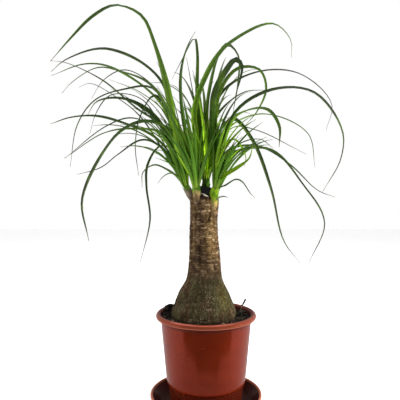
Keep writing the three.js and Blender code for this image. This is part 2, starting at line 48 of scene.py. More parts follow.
# Saucer and pot
# The saucer, the pot and the soil are drawn out from a ring of this radius.
HUB = 4
SAUCER_LIP_RADIUS = 95
SAUCER_HEIGHT = 23
SAUCER_BASE_RADIUS = 79
SAUCER_WALL = 2.2
SAUCER_FLOOR = 2.6
SAUCER_LIP = 4
SAUCER_RIDGE = 70
RIDGE_HEIGHT = 0.9
UNDERSIDE_RISE = 1.2
POT_BOTTOM = 2.9
RIM_RADIUS = 86
RIM_ROLL = 4.8
RIM_CENTRE = 154.7
POT_WALL = 2.2
POT_FLOOR = 2.6
POT_TOP_RADIUS = 78.1
RIM_UNDERSIDE = 2.8
POT_TAPER = 0.095
FOOT_TOP = 41
FOOT_STEP = 3
FOOT_BOTTOM_RADIUS = 60
FOOT_RECESS_RADIUS = 50
# Where the rolled rim starts and ends on its circle, in degrees
ROLL_START = -35
ROLL_END = 172
DRAIN_HOLES = 6
DRAIN_RADIUS = 5
DRAIN_CIRCLE = 42
TURNED_SIDES = 160

# Soil
SOIL_TOP = 151
SOIL_LUMP = 1.4
SOIL_GAP = 0.3
# The soil is lumpy from the pot's wall in to this radius, which the trunk covers.
SOIL_INNER = 40
SOIL_RINGS = 46
SOIL_SIDES = 320
MOUND_X = -62
MOUND_Y = 18
MOUND_HEIGHT = 13
MOUND_SPREAD = 11
CRUMBS = 820
CRUMB_RING = (57, 71.5)
# Crumbs lie outside the trunk's foot and inside the pot's wall.
CRUMB_INNER = 55
CRUMB_OUTER = 72
TWIG_FOOT = (60, 29, 150)
TWIG_LEAN = (11, 1.5, 25.5)
TWIG_SUNK = 6
TWIG_RADIUS = 0.9
SPROUT = (65, 21, 151)
SPROUT_LEAVES = 16

# Trunk: height, radius and sideways place of its axis
TRUNK_PROFILE = [
    (112, 34, -4), (122, 47, -4), (136, 54, -4), (152, 56, -4), (165, 54.5, -4), (176, 50, -4),
    (190, 44.5, -4), (200, 39.5, -3.6), (210, 34, -3), (220, 30.6, -2.4), (232, 28.8, -2),
    (252, 27, -2.4), (275, 25, -3.2), (300, 24.1, -3.6), (325, 23.8, -3.8), (343, 24.8, -3.4),
    (352, 25.2, -3.2),
]
TRUNK_SIDES = 72
TRUNK_RINGS = 78
BARK_RIBS = 0.5
BARK_LUMPS = 0.5
TOP_RADIUS = 23
AXIS_X = -3
CUT_HEIGHT = 369
CUT_TILT = math.radians(23)
CUT_BEARING = math.radians(105)
# The heights between which the bark of the swollen foot turns into the stem's
STEM_START = 208
STEM_FULL = 246
SCARS_AROUND = 17
SCAR_HEIGHT = 3.3
FISSURES_AROUND = 74
FISSURE_LENGTH = 8.5
# Patches of the bark: the bearing of the middle in degrees, the half width, the power that the sides
# fall off with, the strength, and the pairs of heights over which it comes in and goes out.
TAN_PATCHES = [
    (298, 24, 4, 1, (236, 262)),
    (222, 9, 2, 0.75, (255, 275)),
    (311, 19, 4, 1, (262, 290)),
]
FLAKE_PATCHES = [(258, 20, 4, 1, (152, 155), (164, 160)), (282, 14, 2, 0.5, (165, 178), (215, 200))]
MOSS_PATCH = (318, 22, 2, 1, (158, 178), (222, 200))
# The shaded patch is painted shade on the left side of the stem.
SHADED_PATCH = (205, 45, 4, 0.3, (205, 235))
DEEP_FURROW = (254, 7, 2, 1, (234, 246), (284, 270))
STRIP_STEPS = 14
# The pale dried flake at the front of the cut, and the stub of a leaf at the foot of a head
FLAKE_LINE = [(-8.5, -21.5, 363.5), (-4, -23.5, 361.6), (0, -24, 359.4), (4, -23.5, 358.2)]
STUB_LINE = [(16, -20, 351), (20.7, -22, 356), (29.3, -24, 358.3), (36, -25, 356.6)]

# Leaves
TURN_START = 0.08
LAUNCH_LENGTH = 24
ROOT_SINK = 5
ROOT_DROP = 8
ROOT_SPREAD = 5
SHEATH_DEPTH = 1.4
TRACED_STEPS = 56
RULE_STEPS = 28
SECTOR_ROUNDING = 3
SECTOR_MARGIN = 1
BLADE_STEPS = 40
BLADE_THICKNESS = 0.7
FINEST_WIDTH = 0.8
# The mark `reach` goes from 0 at a leaf's root to 1 at this distance along it, and the oldest leaves
# have this much more of it.
FULL_REACH = 320
OLDEST_REACH = 0.35
TAPER = 2.1
SHEATHS = 30

# The four heads: the foot, top and radius of the neck, and the sector round the trunk that the head
# keeps its leaves in, as bearings in degrees, 0 to the right and 90 to the back. Then how much darker
# its leaves are, the height where its sheaths turn green, how fresh the green is, and how weathered
# the dry part below is.
Head = namedtuple("Head", "foot top radius sector darker green fresh weathered")
HEADS = {
    "left": Head((-20, -2, 350), (-35, -3, 376), 7.4, (126, 211), 0.25, 369, 0.35, 0.95),
    "middle": Head((-14, -15, 342), (-17, -19, 379), 7.6, (211, 278), 0.18, 366, 0.3, 0.25),
    "right": Head((11, -12, 336), (15, -17, 375), 8.2, (278, 373), 0.15, 350, 0.75, 0.05),
    "back": Head((-2, 15, 344), (1, 21, 391), 8, (13, 126), 0.1, 370, 0.1, 0.7),
}

# The place that the plant is looked at from.
EYE = np.array((-10.3, -758, 352))

# Traced leaves of each head: depth of the tip behind the axis, width, turn at the root and the tip,
# and the points after the root as they appear from EYE on the plane of the pot's axis. Some have a
# hold of their own in place of TAPER, and a launch in place of LAUNCH_LENGTH.
TRACED = {
    "left": [
        (-60, 10, (5, 35), [(-79, 558), (-170, 612), (-241, 594), (-267, 573)]),
        (20, 8, (20, 40), [(-76, 514), (-163, 580), (-210, 586), (-267, 566)]),
        (110, 7, (30, 0), [(-80, 535), (-138, 576), (-176, 559), (-197, 527)]),
        (60, 8, (35, 10), [(-68, 472), (-117, 507), (-180, 559), (-243, 589), (-268, 592)]),
        (-100, 9, (45, 20), [(-75, 490), (-131, 526), (-187, 522), (-203, 500)], 4),
        (0, 8, (25, -10), [(-89, 542), (-142, 542), (-191, 524), (-222, 480), (-234, 409)]),
        (-40, 6.5, (30, 20),
         [(-64, 433), (-92, 462), (-137, 482), (-188, 496), (-233, 494), (-268, 483)], 6),
        (90, 6, (20, 0), [(-92, 478), (-130, 493), (-175, 477), (-243, 424)]),
        (-80, 8, (25, -10), [(-80, 467), (-120, 474), (-174, 468), (-244, 424)]),
        (-50, 8, (30, 0), [(-79, 443), (-109, 455), (-152, 430), (-181, 408), (-222, 396)]),
        (30, 6, (10, 40), [(-60, 440), (-79, 444), (-100, 412), (-102, 376), (-96, 318), (-113, 245)]),
        (-30, 7, (20, 0), [(-48, 391), (-87, 412), (-108, 400), (-110, 374)]),
        (-20, 5, (20, 0), [(-53, 409), (-71, 419), (-87, 425)]),
        (20, 4.5, (20, 0), [(-60, 398), (-74, 392), (-83, 381)]),
        (80, 6, (10, 0), [(-70, 500), (-114, 538), (-167, 560)]),
        (150, 7, (30, 0), [(-114, 496), (-150, 526), (-200, 553), (-219, 546)]),
        (170, 6, (30, 0), [(-110, 525), (-165, 532), (-190, 500), (-200, 466)]),
    ],
    "middle": [
        (-165, 14.5, (85, -85),
         [(-46, 438), (-70, 551), (-90, 619), (-109, 665), (-133, 682), (-157, 687), (-195, 668),
          (-233, 631), (-268, 591)], 1.6),
        (-130, 8, (-20, 100),
         [(-62, 470), (-103, 486), (-148, 470), (-182, 431), (-214, 357), (-202, 282)], 4),
        (-90, 8, (40, 10), [(-60, 500), (-89, 531), (-112, 500), (-122, 447), (-116, 394)]),
        (-150, 7, (25, 0), [(-90, 545), (-150, 574), (-187, 580), (-231, 555), (-248, 536)]),
        (-40, 9, (45, 30), [(-43, 524), (-42, 580), (-29, 623), (-18, 642)]),
    ],
    "right": [
        (-40, 11.5, (-60, -60), [(9, 522), (36, 579), (50, 594), (60, 585), (58, 560), (50, 530)], 5),
        (-25, 10, (55, 50), [(22, 529), (54, 577), (91, 576), (103, 545), (89, 507), (67, 480)], 2.6),
        (-60, 10.5, (60, 15), [(49, 499), (115, 541), (185, 537), (234, 472), (232, 423), (201, 366)]),
        (-110, 7, (-25, 60), [(53, 496), (104, 508), (126, 480), (126, 443)], 6),
        (-70, 8, (55, 40), [(25, 470), (47, 491), (80, 454), (112, 370), (133, 283), (163, 242)]),
        (10, 9, (30, 20), [(40, 437), (92, 443), (143, 414), (192, 369), (222, 357)]),
        (-30, 9, (40, 20), [(45, 430), (110, 438), (167, 378), (204, 313), (177, 243)]),
        (-80, 6, (20, 0), [(50, 443), (92, 457), (116, 441)]),
        (-60, 10, (80, 60), [(23, 390), (54, 407), (75, 424), (80, 447)]),
        (-30, 9, (30, 30), [(30, 442), (48, 456), (68, 427), (66, 410)]),
        (-30, 5.5, (20, 20), [(34, 377), (51, 387), (62, 383), (76, 364), (84, 356)], TAPER, 8),
        (0, 7, (60, 40), [(26, 386), (32, 396), (34, 407)]),
    ],
    "back": [
        (165, 7, (40, 30), [(-34, 525), (-70, 552), (-105, 554)]),
        (110, 8, (-35, -35), [(-15, 524), (-15, 608), (-20, 631), (-38, 600), (-59, 560)], 2.6),
        (70, 5, (30, 0), [(-21, 524), (-34, 598)]),
        (80, 11.5, (75, 60),
         [(-25, 481), (-17, 524), (-5, 555), (16, 595), (42, 623), (115, 656), (146, 628), (147, 598)], 2),
        (115, 9.5, (75, 100), [(-1, 507), (24, 610), (37, 620), (55, 600), (55, 558), (45, 493)], 3),
        (95, 8, (40, 30), [(23, 530), (88, 572), (163, 569), (217, 517), (207, 472)]),
        (130, 7, (20, 0), [(45, 480), (103, 500), (176, 466), (188, 408)]),
        (100, 8, (40, 10), [(16, 491), (65, 537), (112, 542)]),
        (80, 5, (10, 0), [(45, 476), (85, 473), (173, 431)]),
    ],
}

# Leaves placed by rule: how many, the bearings that they lean to, and the spans of their length, of
# their lean from upright at the root and at the tip, and of their width.
FILL = {
    "left": (9, (130, 168), (130, 270), (6, 34), (60, 120), (5, 8)),
    "middle": (14, (214, 276), (90, 190), (3, 26), (25, 95), (6, 9)),
    "right": (15, (284, 354), (80, 160), (3, 26), (40, 105), (6, 9)),
    "back": (30, (56, 122), (150, 330), (4, 36), (45, 115), (5, 9)),
}
# The younger and finer leaves among them, which cross over the others.
YOUNG = {
    "left": (19, (100, 240), (80, 235), (0, 26), (20, 90), (3.5, 6.5)),
    "middle": (13, (170, 350), (60, 150), (0, 20), (10, 75), (4, 7)),
    "right": (6, (240, 390), (50, 120), (0, 18), (15, 70), (4, 7)),
    "back": (13, (50, 150), (90, 240), (0, 30), (15, 95), (3.5, 7)),
}
# The age that some traced leaves look, from 0 for a fresh yellow green to 1 for the darkest.
AGES = {
    "left": {0: 0.6, 1: 0.35, 3: 0.5, 6: 0.6, 8: 0.6, 11: 1},
    "middle": {0: 0.1, 1: 0.95, 2: 0.7},
    "right": {0: 0.4, 8: 0.1, 10: 1},
    "back": {3: 0.65, 4: 0.4},
}

# Seeds of the random draws
FILL_SEED = 20117
YOUNG_SEED = 40961
BLADE_SEED = 9000
SHEATH_SEED = 8000
CRUMB_SEED = 7301
SPROUT_SEED = 512


def lerp(a, b, t):
    return a + (b - a) * t


def smooth(low, high, value):
    """0 below `low`, 1 above `high`, and eased between them."""
    t = np.clip((value - low) / (high - low), 0, 1)
    return t * t * (3 - 2 * t)


def unit(vectors):
    return vectors / np.linalg.norm(vectors, axis=-1, keepdims=True)


def towards(bearing):
    """The level direction of a bearing."""
    return np.array((math.cos(bearing), math.sin(bearing), 0))


def park_miller(seed):
    """Seeded random numbers from 0 to 1."""
    state = seed
    while True:
        state = state * 16807 % 2147483647
        yield state / 2147483647


def smooth_line(points, steps):
    """A centripetal Catmull-Rom curve through the points."""
    p = np.asarray(points, float)
    p = np.vstack([2 * p[0] - p[1], p, 2 * p[-1] - p[-2]])
    place = np.linspace(0, len(p) - 3, steps + 1)
    i = np.minimum(place.astype(int), len(p) - 4)
    w = (place - i)[:, None]
    p0, p1, p2, p3 = (p[i + k] for k in range(4))
    d0, d1, d2 = (
        np.sqrt(np.linalg.norm(b - a, axis=1, keepdims=True)) for a, b in ((p0, p1), (p1, p2), (p2, p3))
    )
    t1 = ((p1 - p0) / d0 - (p2 - p0) / (d0 + d1) + (p2 - p1) / d1) * d1
    t2 = ((p2 - p1) / d1 - (p3 - p1) / (d1 + d2) + (p3 - p2) / d2) * d1
    return p1 + w * (t1 + w * (3 * (p2 - p1) - 2 * t1 - t2 + w * (2 * (p1 - p2) + t1 + t2)))


# Patterns on a surface that closes round an axis: u counts cells round it, v cells along it.

PATTERN_ROWS = 256


def lattice(u, v, around, seed):
    """Soft noise from -1 to 1."""
    table = np.random.default_rng(seed).uniform(-1, 1, (around, PATTERN_ROWS))
    i, j = np.floor(u).astype(int), np.floor(v).astype(int)
    a, b = u - i, v - j
    a, b = a * a * (3 - 2 * a), b * b * (3 - 2 * b)
    low, high = (
        lerp(table[i % around, row % PATTERN_ROWS], table[(i + 1) % around, row % PATTERN_ROWS], a)
        for row in (j, j + 1)
    )
    return lerp(low, high, b)


def plates(u, v, around, seed):
    """Cells of uneven shape: how far a point is from the crack round its cell, and the cell's tone."""
    rng = np.random.default_rng(seed)
    spot = rng.uniform(0.12, 0.88, (2, around, PATTERN_ROWS))
    tones = rng.uniform(0, 1, (around, PATTERN_ROWS))
    i, j = np.floor(u).astype(int), np.floor(v).astype(int)
    nearest = np.full(u.shape, 9.0)
    second = np.full(u.shape, 9.0)
    tone = np.zeros(u.shape)
    for di in (-1, 0, 1):
        for dj in (-1, 0, 1):
            cell = (i + di) % around, (j + dj) % PATTERN_ROWS
            away = np.hypot(i + di + spot[0][cell] - u, j + dj + spot[1][cell] - v)
            closer = away < nearest
            second = np.where(closer, nearest, np.minimum(second, away))
            tone = np.where(closer, tones[cell], tone)
            nearest = np.where(closer, away, nearest)
    return second - nearest, tone


# Meshes


def begin():
    """Clears the selection, which the next operator would act on."""
    bpy.ops.object.select_all(action="DESELECT")


def pick(piece):
    begin()
    piece.select_set(True)
    bpy.context.view_layer.objects.active = piece


def modified(piece, kind, **settings):
    """Adds a modifier and applies it."""
    pick(piece)
    bpy.ops.object.modifier_add(type=kind)
    modifier = piece.modifiers[-1]
    for key, value in settings.items():
        setattr(modifier, key, value)
    bpy.ops.object.modifier_apply(modifier=modifier.name)
    return piece


def points_of(piece):
    """The mesh's points in millimetres."""
    flat = np.empty(len(piece.data.vertices) * 3)
    piece.data.vertices.foreach_get("co", flat)
    return flat.reshape(-1, 3) / MM


def place_points(piece, points):
    piece.data.vertices.foreach_set("co", (points * MM).ravel())
    piece.data.update()


def mark(piece, **values):
    """Writes numbers on the mesh's points that its material reads."""
    for name, value in values.items():
        layer = piece.data.attributes.new(name, "FLOAT", "POINT")
        layer.data.foreach_set("value", np.broadcast_to(value, len(piece.data.vertices)).astype(np.float32))


def joined(name, pieces):
    pick(pieces[0])
    for piece in pieces:
        piece.select_set(True)
    bpy.ops.object.join()
    pieces[0].name = pieces[0].data.name = name
    return pieces[0]


def arc(r, z, radius, start, end, steps):
    angles = np.radians(np.linspace(start, end, steps + 1))
    return [(r + radius * math.cos(a), z + radius * math.sin(a)) for a in angles]


def eased(outline, radius, steps=4):
    """Rounds an outline's corners, over `radius` or as far as its sides allow."""
    points = np.array(outline, float)
    line = [points[0]]
    for before, corner, after in zip(points, points[1:], points[2:]):
        back, on = before - corner, after - corner
        start = corner + back * min(radius / np.linalg.norm(back), 0.45)
        end = corner + on * min(radius / np.linalg.norm(on), 0.45)
        for t in np.linspace(0, 1, steps + 1):
            line.append((1 - t) ** 2 * start + 2 * t * (1 - t) * corner + t * t * end)
    return line + [points[-1]]


def drawn_round(name, outline, sides=TURNED_SIDES):
    """Draws a ring out from point to point of an outline of (radius, height), and closes its ends."""
    (radius, height), *rest = outline
    begin()
    bpy.ops.mesh.primitive_circle_add(vertices=sides, radius=radius * MM, location=(0, 0, height * MM))
    piece = bpy.context.object
    piece.name = piece.data.name = name
    bpy.ops.object.transform_apply(location=True, rotation=False, scale=False)
    bpy.ops.object.mode_set(mode="EDIT")
    bpy.ops.mesh.select_all(action="SELECT")
    for r, z in rest:
        rise = {"value": (0, 0, (z - height) * MM)}
        bpy.ops.mesh.extrude_region_move(TRANSFORM_OT_translate=rise)
        bpy.ops.transform.resize(value=(r / radius, r / radius, 1), center_override=(0, 0, z * MM))
        radius, height = r, z
    bpy.ops.mesh.select_all(action="SELECT")
    bpy.ops.mesh.fill_holes(sides=0)
    bpy.ops.mesh.normals_make_consistent(inside=False)
    bpy.ops.object.mode_set(mode="OBJECT")
    return piece


def flat_strip(name, across, along, thickness):
    """A strip from -1 to 1 across and 0 to 1 along, in units that laying it on a line replaces."""
    begin()
    bpy.ops.mesh.primitive_grid_add(x_subdivisions=across, y_subdivisions=along, size=2)
    strip = bpy.context.object
    strip.name = strip.data.name = name
    bpy.ops.object.mode_set(mode="EDIT")
    bpy.ops.mesh.select_all(action="SELECT")
    bpy.ops.transform.resize(value=(1, 0.5, 1), center_override=(0, -1, 0))
    bpy.ops.transform.translate(value=(0, 1, 0))
    bpy.ops.object.mode_set(mode="OBJECT")
    return modified(strip, "SOLIDIFY", thickness=thickness, offset=-1)


def copied(master, name, points, **marks):
    """A copy of a master piece, with its points put in place and marked."""
    piece = master.copy()
    piece.data = master.data.copy()
    piece.name = piece.data.name = name
    bpy.context.collection.objects.link(piece)
    place_points(piece, points)
    mark(piece, **marks)
    return piece


# Materials


class Wire:
    """A number that varies over the surface. Arithmetic on it adds Math nodes."""

    def __init__(self, look, socket):
        self.look = look
        self.socket = socket

    def math(self, operation, *values):
        return self.look.node("Math", {"operation": operation}, dict(enumerate((self, *values))))

    def __add__(self, other):
        return self.math("ADD", other)

    def __mul__(self, other):
        return self.math("MULTIPLY", other)

    def __sub__(self, other):
        return self.math("SUBTRACT", other)

    def __rsub__(self, other):
        return self.look.node("Math", {"operation": "SUBTRACT"}, {0: other, 1: self})

    def __abs__(self):
        return self.math("ABSOLUTE")

    __radd__ = __add__
    __rmul__ = __mul__

    def span(self, low, high, start=0.0, end=1.0):
        """Eases from `start` to `end` as the number goes from `low` to `high`."""
        limits = {"Value": self, "From Min": low, "From Max": high, "To Min": start, "To Max": end}
        return self.look.node("MapRange", {"interpolation_type": "SMOOTHSTEP"}, limits)


class Look:
    """The nodes of a material, or of the world."""

    def __init__(self, owner):
        owner.use_nodes = True
        self.owner = owner
        self.tree = owner.node_tree
        self.tree.nodes.clear()

    def node(self, kind, settings=None, sockets=None, output=0):
        """Adds a node, with its settings made first and then the values or links of its sockets."""
        made = self.tree.nodes.new("ShaderNode" + kind)
        for key, value in (settings or {}).items():
            if key == "stops":
                self.set_stops(made.color_ramp, value)
            else:
                setattr(made, key, value)
        for key, value in (sockets or {}).items():
            if isinstance(value, Wire):
                self.tree.links.new(value.socket, made.inputs[key])
            else:
                made.inputs[key].default_value = value
        return Wire(self, made.outputs[output]) if made.outputs else made

    @staticmethod
    def set_stops(ramp, stops):
        while len(ramp.elements) < len(stops):
            ramp.elements.new(0.5)
        for element, (place, tint) in zip(ramp.elements, stops):
            element.position = place
            element.color = (*tint, 1)

    def ramp(self, value, *stops):
        return self.node("ValToRGB", {"stops": stops}, {"Fac": value})

    def mark(self, name):
        return self.node("Attribute", {"attribute_name": name}, output="Fac")

    def marks(self, *names):
        return [self.mark(name) for name in names]

    def parts(self, vector):
        """The x, y and z of a vector."""
        first = self.node("SeparateXYZ", sockets={0: vector})
        return [Wire(self, output) for output in first.socket.node.outputs]

    def noise(self, scale, detail=3.0, stretch=(1, 1, 1), roughness=0.55):
        """Noise in the object's own space, `scale` waves to a millimetre."""
        place = self.node("TexCoord", output="Object")
        stretched = tuple(1000 * scale * s for s in stretch)
        spot = self.node("Mapping", sockets={"Vector": place, "Scale": stretched})
        settings = {"Vector": spot, "Scale": 1.0, "Detail": detail, "Roughness": roughness}
        return self.node("TexNoise", sockets=settings)

    def mix(self, share, a, b, blend="MIX"):
        """Mixes colours."""
        return self.node(
            "Mix", {"data_type": "RGBA", "blend_type": blend}, {0: share, 6: colour(a), 7: colour(b)}, 2
        )

    def shaded(self, tint, tone, amount):
        """Darkens a colour where the tone is below a half, and brightens it where it is above."""
        level = (tone - 0.5) * amount + 1.0
        grey = self.node("CombineColor", sockets={0: level, 1: level, 2: level})
        return self.mix(1.0, tint, grey, "MULTIPLY")

    def bump(self, height, distance, strength, **under):
        """Relief of so many millimetres, over another relief where Normal is given."""
        sockets = {"Height": height, "Distance": distance * MM, "Strength": strength, **under}
        return self.node("Bump", sockets=sockets)

    def finish(self, tint, roughness, **others):
        """Ends a material in its shader. In the names of other sockets, _ stands for a space."""
        sockets = {"Base Color": tint, "Roughness": roughness}
        sockets.update((name.replace("_", " "), value) for name, value in others.items())
        shader = self.node("BsdfPrincipled", sockets=sockets)
        self.node("OutputMaterial", sockets={"Surface": shader})
        return self.owner


def colour(value):
    return value if isinstance(value, Wire) else (*value, 1)


def new_look(name):
    return Look(bpy.data.materials.new(name))


# The colour of the reflections in the pot's and the saucer's plastic.
GLOSS_TINT = (1.0, 0.19, 0.135, 1)


def moulded_plastic(name, base, deep, gloss):
    """Glossy moulded plastic with flow marks, a few scuffs, painted shade (partly a soil stain) and a
    painted highlight on the rim.
    """
    look = new_look(name)
    worn, soiled = look.marks("worn", "soiled")
    flow = look.noise(0.018, 2, (1, 1, 2.5))
    haze = look.noise(0.03, 3)
    specks = look.noise(0.35, 2).span(0.74, 0.8) * look.noise(0.03, 1).span(0.5, 0.62)
    scuff = look.noise(0.11, 4, (1, 1, 2.6)).span(0.64, 0.70) * look.noise(0.025, 1).span(0.46, 0.56)
    tint = look.mix(flow.span(0.3, 0.7), deep, base)
    tint = look.mix(scuff * 0.8, tint, (0.03, 0.007, 0.003))
    tint = look.mix(specks * 0.35, tint, (0.3, 0.17, 0.12))
    # Painted highlight: the worn mark lightens the plastic where light falls on the pot's roll and the
    # saucer's lip.
    tint = look.mix(worn, tint, (0.42, 0.15, 0.085))
    # Painted shade, partly a soil stain: this mark darkens the plastic inside the pot, under its rim, on
    # its foot and on the saucer's floor.
    tint = look.mix(soiled, tint, (0.014, 0.006, 0.004))
    soft = look.noise(0.012, 1, (1, 1, 1.6))
    relief = look.bump(soft, 0.9, 0.35, Normal=look.bump(look.noise(0.6, 2), 0.01, 0.2))
    roughness = haze.span(0.35, 0.75, 0.08, 0.14) + (scuff + soiled) * 0.4
    return look.finish(tint, roughness, Normal=relief, IOR=gloss, Specular_Tint=GLOSS_TINT)


def peat():
    look = new_look("peat")
    fine = look.noise(0.9, 4)
    broad = look.noise(0.08, 3)
    base = look.ramp(
        look.mark("tone") * 0.75 + fine * 0.25,
        (0.0, (0.004, 0.003, 0.003)), (0.45, (0.016, 0.011, 0.008)),
        (0.75, (0.04, 0.028, 0.018)), (1.0, (0.26, 0.18, 0.09)),
    )
    tint = look.mix(broad.span(0.4, 0.7) * 0.5, base, (0.008, 0.006, 0.006))
    return look.finish(tint, 0.95, Normal=look.bump(fine, 0.35, 0.8), Specular_IOR_Level=0.25)


def palm_bark():
    """Corky bark: brown scarred stem, a tan side, an olive grey swollen foot and the sealed cut."""
    look = new_look("palm bark")
    crack, tone, stem, tan = look.marks("crack", "tone", "stem", "tan")
    moss, flake, dark, seal = look.marks("moss", "flake", "dark", "seal")
    fine = look.noise(0.75, 5)
    broad = look.noise(0.07, 3)
    streak = look.noise(0.6, 5, (1, 1, 0.16), 0.65)
    spots = look.noise(0.6, 3, (1, 1, 0.6))
    cork = look.ramp(
        tone * 0.7 + fine * 0.3,
        (0.15, (0.024, 0.013, 0.006)), (0.45, (0.07, 0.041, 0.021)),
        (0.7, (0.145, 0.092, 0.05)), (0.92, (0.34, 0.25, 0.15)),
    )
    pale = look.ramp(
        tone * 0.65 + fine * 0.35,
        (0.1, (0.067, 0.037, 0.014)), (0.5, (0.152, 0.092, 0.037)),
        (0.9, (0.35, 0.25, 0.13)),
    )
    grey = look.ramp(
        tone * 0.2 + streak * 0.8,
        (0.3, (0.009, 0.0075, 0.0028)), (0.48, (0.032, 0.0265, 0.012)),
        (0.62, (0.062, 0.053, 0.027)), (0.8, (0.18, 0.155, 0.09)),
    )
    ruddy = look.noise(0.045, 2, (1, 1, 0.4)).span(0.46, 0.6)
    grey = look.mix(ruddy * 0.8, grey, (1.2, 0.86, 1.0), "MULTIPLY")
    upper = look.mix(tan * broad.span(0.25, 0.55, 0.55, 1.0), cork, pale)
    tint = look.mix(stem, grey, upper)
    tint = look.mix(moss * streak.span(0.35, 0.65) * 0.5, tint, (0.075, 0.068, 0.014))
    tint = look.mix(moss * (spots + moss * 0.08).span(0.69, 0.75) * 0.8, tint, (0.22, 0.18, 0.02))
    tint = look.mix(flake * spots.span(0.56, 0.64), tint, (0.33, 0.26, 0.17))
    # The dark mark: darker towards the soil line, random dark blots, and painted shade on the stem's left
    # side.
    tint = look.mix(dark, tint, (0.012, 0.008, 0.005))
    tint = look.mix(crack, tint, (0.012, 0.007, 0.003))
    tint = look.mix(seal, tint, (0.0018, 0.0018, 0.002))
    relief = look.bump(fine * 0.7 + streak * 0.5, 0.55, 0.9)
    return look.finish(tint, seal.span(0, 1, 0.95, 0.7), Normal=relief, Specular_IOR_Level=0.08)


def leaf_blade():
    """Satin leaves: yellow green near the root, darker further out and with age, veined lengthwise."""
    look = new_look("leaf blade")
    place = look.node("TexCoord", output="UV")
    across, along, _ = look.parts(place)
    tone, age, reach = look.marks("tone", "age", "reach")
    lined = look.node("Mapping", sockets={"Vector": place, "Scale": (26, 5, 1)})
    lines = look.node("TexNoise", sockets={"Vector": lined, "Scale": 1.0, "Detail": 2.0})
    blotch = look.noise(0.03, 2)
    young = look.ramp(
        reach,
        (0.0, (0.30, 0.40, 0.02)), (0.08, (0.23, 0.41, 0.009)),
        (0.30, (0.15, 0.285, 0.010)), (0.55, (0.065, 0.13, 0.012)),
        (1.0, (0.04, 0.08, 0.012)),
    )
    old = look.ramp(
        reach,
        (0.0, (0.13, 0.19, 0.015)), (0.08, (0.055, 0.135, 0.006)),
        (0.25, (0.032, 0.088, 0.005)), (0.50, (0.020, 0.039, 0.009)),
        (1.0, (0.027, 0.034, 0.019)),
    )
    tint = look.mix(age.span(0.1, 0.75), young, old)
    tint = look.shaded(tint, tone, 0.8)
    tint = look.shaded(tint, lines, 0.5)
    rib = 1.0 - abs(across - 0.5).span(0.0, 0.07)
    tint = look.mix(rib * 0.3, tint, (0.14, 0.28, 0.02))
    tint = look.mix(blotch.span(0.5, 0.75) * 0.25, tint, (0.12, 0.22, 0.01))
    dry = (along + tone * 0.05).span(0.965, 1.01)
    tint = look.mix(dry, tint, (0.12, 0.09, 0.045))
    roughness = lines.span(0.3, 0.7, 0.42, 0.55)
    return look.finish(tint, roughness, Normal=look.bump(lines, 0.12, 0.5), Specular_IOR_Level=0.12)


def leaf_sheath():
    """The clasping feet of the leaves: green above, and golden, tan or papery brown where they dry."""
    look = new_look("leaf sheath")
    age, tone, dried = look.marks("age", "tone", "dried")
    fibre = look.noise(0.55, 4, (1, 1, 0.22), 0.6)
    knots = look.noise(0.45, 3)
    green = look.ramp(
        look.mark("fresh"),
        (0.0, (0.015, 0.04, 0.004)), (0.5, (0.06, 0.14, 0.008)),
        (1.0, (0.16, 0.25, 0.008)),
    )
    dry = look.ramp(
        age,
        (0.0, (0.30, 0.24, 0.05)), (0.35, (0.24, 0.165, 0.07)),
        (0.7, (0.11, 0.07, 0.036)), (1.0, (0.15, 0.115, 0.085)),
    )
    tint = look.mix(dried, green, dry)
    tint = look.shaded(tint, tone, 0.6)
    tint = look.shaded(tint, fibre, 1.5)
    tint = look.mix(dried * knots.span(0.52, 0.66) * 0.75, tint, (0.028, 0.016, 0.008))
    relief = look.bump(fibre + knots * 0.6, 0.5, 0.8)
    return look.finish(tint, 0.8, Normal=relief, Specular_IOR_Level=0.1)


def dried_wood():
    look = new_look("dried wood")
    grain = look.noise(0.8, 4, (1, 1, 0.3))
    pale = look.ramp(grain, (0.3, (0.10, 0.07, 0.045)), (0.7, (0.30, 0.24, 0.17)))
    tint = look.mix(look.mark("dark"), pale, (0.02, 0.010, 0.006))
    return look.finish(tint, 0.85, Normal=look.bump(grain, 0.25, 0.7))


def dried_flake():
    look = new_look("dried flake")
    grain = look.noise(0.9, 3, (0.3, 1, 1))
    pale = look.ramp(grain, (0.3, (0.2, 0.17, 0.12)), (0.7, (0.42, 0.40, 0.32)))
    tint = look.mix(look.mark("pale"), (0.045, 0.045, 0.03), pale)
    return look.finish(tint, 0.8, Normal=look.bump(grain, 0.2, 0.6))


def settle(piece, material, slot, *nodes, angle=40):
    """Gives a piece its material and hides the nodes that it stands for; the slot is not used."""
    piece.data.materials.clear()
    piece.data.materials.append(material)
    pick(piece)
    bpy.ops.object.shade_smooth_by_angle(angle=math.radians(angle))
    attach(piece, "root")
    if nodes:
        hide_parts(*nodes)
    return piece


# Saucer and pot


def pot_radius(z):
    return POT_TOP_RADIUS - POT_TAPER * (RIM_CENTRE - z)


FOOT_TOP_RADIUS = pot_radius(FOOT_TOP) - FOOT_STEP
POT_FLOOR_TOP = POT_BOTTOM + POT_FLOOR


def inside_radius(z):
    share = (z - FOOT_TOP) / (RIM_CENTRE - FOOT_TOP)
    return lerp(FOOT_TOP_RADIUS, POT_TOP_RADIUS, share) - POT_WALL


